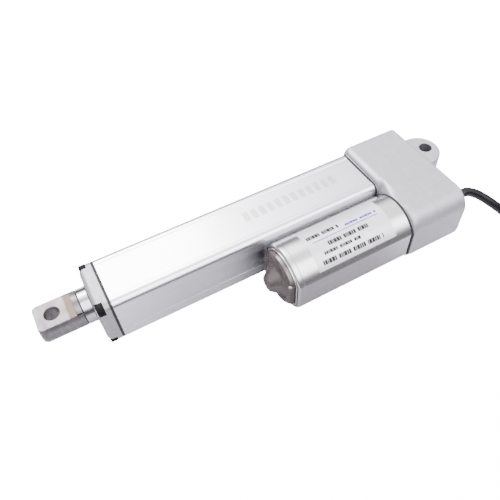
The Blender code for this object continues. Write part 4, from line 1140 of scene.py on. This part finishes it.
def can_patch(low_x, high_x, low_a, high_a, lift, steps=2):
    """A thin sheet on the can between two X values and two angles."""
    rings = []
    for r in (CAN_R + 0.06 + lift, CAN_R + 0.06 + lift - FILM):
        turns = [(high_a - low_a) * k / steps for k in range(steps + 1)]
        loop = [(low_x, low_a + turn) for turn in turns] + [(high_x, high_a - turn) for turn in turns]
        angles = [(x, math.radians(a)) for x, a in loop]
        rings.append([world(x, MOTOR_Y + r * math.cos(a), r * math.sin(a)) for x, a in angles])
    bm = bmesh.new()
    top, low = ([bm.verts.new(p) for p in ring] for ring in rings)
    count = len(top)
    for i in range(count):
        bm.faces.new((top[i], top[(i + 1) % count], low[(i + 1) % count], low[i]))
    for loop in (top, low):
        for k in range(steps):
            bm.faces.new((loop[k], loop[k + 1], loop[count - 2 - k], loop[count - 1 - k]))
    return mesh_of(bm)


def make_label():
    """A film label on the motor can, with a rule and rows of plain bars and no lettering."""
    x0, x1 = LABEL_LOW_X, LABEL_HIGH_X
    mesh = can_patch(x0, x1, *LABEL_ANGLES, LABEL_LIFT, 40)
    piece("rating_label", mesh, "label", weighted=False)
    printed = {"ink": [], "blue": [can_patch(x0 + 4, x1 - 4, 85.2, 86.6, PRINT_LIFT)]}
    length = x1 - x0 - 2 * LABEL_MARGIN
    for angle, tall, begin, finish, colour in LABEL_ROWS:
        at = begin * length
        step = 0
        while at < finish * length:
            wide = BAR_WIDTHS[(step * 3 + step // 4) % 4]
            left = x1 - LABEL_MARGIN - at
            low_a, high_a = angle - tall / 2, angle + tall / 2
            printed[colour].append(can_patch(left - wide, left, low_a, high_a, PRINT_LIFT))
            at += wide + (WORD_GAP if step % 6 == 5 else BAR_GAP)
            step += 1
    for name, colour, finish in (("label_bars", "ink", "label_ink"), ("label_rules", "blue", "label_blue")):
        piece(name, merged(printed[colour]), finish, weighted=False)


# --- Rod


def make_rod():
    front, hollow_r = ROD_HIGH.x, 7.9
    barrel = [(front, hollow_r), (front, ROD_R, 0.25), (ROD_LOW.x, ROD_R, 0.25), (ROD_LOW.x, hollow_r)]
    mesh = turned(rounded(barrel, 4), segments=128, ring=True)
    piece("rod_barrel", mesh, "rod", ("rod_tube",), body="rod")
    tip, step_x, far = END_HIGH.x, 17.75, 12.0
    fitting = [
        (tip, 0.0), (tip, ROD_R, 2.5), (front + 0.3, ROD_R, 0.35), (front + 0.3, 7.6),
        (2.5, 7.6, 0.3), (2.5, 6.2), (10.0, 6.2), (10.0, 0.0),
    ]
    body = turned(rounded(fitting, 6), segments=128)
    cuts = []
    for sign in (-1, 1):
        low_z, high_z = sorted((sign * FLAT_HALF_Z, sign * far))
        cuts.append(block((step_x, -far, low_z), (45, far, high_z)))
    cuts.append(cylinder(-far, far, EYE_R, (EYE_X, 0), "Z"))
    wide_r = EYE_R + 0.95
    chamfer = ((FLAT_HALF_Z - 0.35, EYE_R), (FLAT_HALF_Z + 0.6, wide_r))
    for ends in ([(-z, r) for z, r in reversed(chamfer)], chamfer):
        cuts.append(loft([[world(x, y, z) for x, y in circle(EYE_X, 0, r)] for z, r in ends]))
    mesh = combined(body, cuts, edge=0.3, edge_angle=40)
    piece("rod_end_fitting", mesh, "rod_end", ("rod_end",), 28, body="rod")


# --- Lead screw


def make_lead_screw():
    """The lead screw with its trapezoidal thread, right-handed, one start."""
    lead, depth, radius = 4.0, 1.0, 5.0
    high = SCREW_HIGH.x
    segments = 48
    shoulder = spans("screw_bearing_inner_ring")[1].x + 0.3

    def height(x, angle):
        phase = ((x / lead) - angle / (2 * math.pi)) % 1.0
        rise = min(phase, 1 - phase) * 2
        return depth * min(1.0, max(0.0, (rise - 0.30) / 0.32))

    steps = int((high - 1.0 - (shoulder + 4)) / (lead / 12))
    low, end = SCREW_LOW.x, shoulder + 4
    plain = ((low, 3.4), (low + 0.3, 3.7), (shoulder, 3.7), (shoulder, radius), (end, radius))
    rings = [in_x(x, circle(0, 0, r, segments)) for x, r in plain]
    for k in range(1, steps + 1):
        x = shoulder + 4 + (high - 1.0 - shoulder - 4) * k / steps
        fade = min(1.0, k / 6, (steps + 1 - k) / 4)
        loop = []
        for s in range(segments):
            angle = 2 * math.pi * s / segments
            r = radius - depth * fade + height(x, angle) * fade
            loop.append((r * math.cos(angle), r * math.sin(angle)))
        rings.append(in_x(x, loop))
    rings.append(in_x(high, circle(0, 0, radius - 1.3, segments)))
    piece("lead_screw_thread", loft(rings), "steel", ("lead_screw",), 40, False, "screw")


# --- CAD nodes that stay, with their finishes

KEPT = {
    "bronze": ("rod_guide_bush", "motor_front_bush", "motor_rear_bush"),
    "black_steel": ("tube_screw_low", "tube_screw_top"),
    "spring": ("screw_gear_lock_ring",),
    "steel": ("motor_shaft", "compound_gear_axle"),
    "sintered": ("screw_gear", "compound_gear", "motor_pinion"),
    "bearing": ("screw_bearing_outer_ring", "screw_bearing_inner_ring"),
    "brass": ("screw_bearing_ball_cage",),
    "copper": ("armature_winding_front", "armature_winding_rear", "commutator"),
    "lamination": ("armature_core",),
    "ferrite": ("motor_magnet_low", "motor_magnet_top", "nut_magnet"),
    "carbon": ("motor_brush_near", "motor_brush_far"),
    "phenolic": ("motor_brush_plate",),
    "acetal": ("drive_nut",),
    "board": ("limit_sensor_board",),
    "sensor": ("limit_sensor_front", "limit_sensor_rear"),
}


def finish_kept_nodes():
    for finish, names in KEPT.items():
        for name in names:
            node = frame["nodes"][name]
            node.data.materials.clear()
            node.data.materials.append(FINISH[finish])


# --- The scene

FINISH = make_finishes()
satin_side(FINISH["tube"])
# Painted shade inside the ear's bore.
painted_bore_shade(FINISH["casting"], EAR_EYE_X, 0, EYE_R, BORE_SHADE_COLOUR)
stained(FINISH["rod_end"], STAIN_LOW_X, STAIN_HIGH_X, STAIN_COLOUR)
make_camera()
make_cord()
make_world()
make_key()
make_floor()
make_tube()
make_front_cap()
make_screws()
make_housing()
make_cover()
make_grommet()
make_motor()
make_bell_screws()
make_label()
make_rod()
make_lead_screw()
finish_kept_nodes()
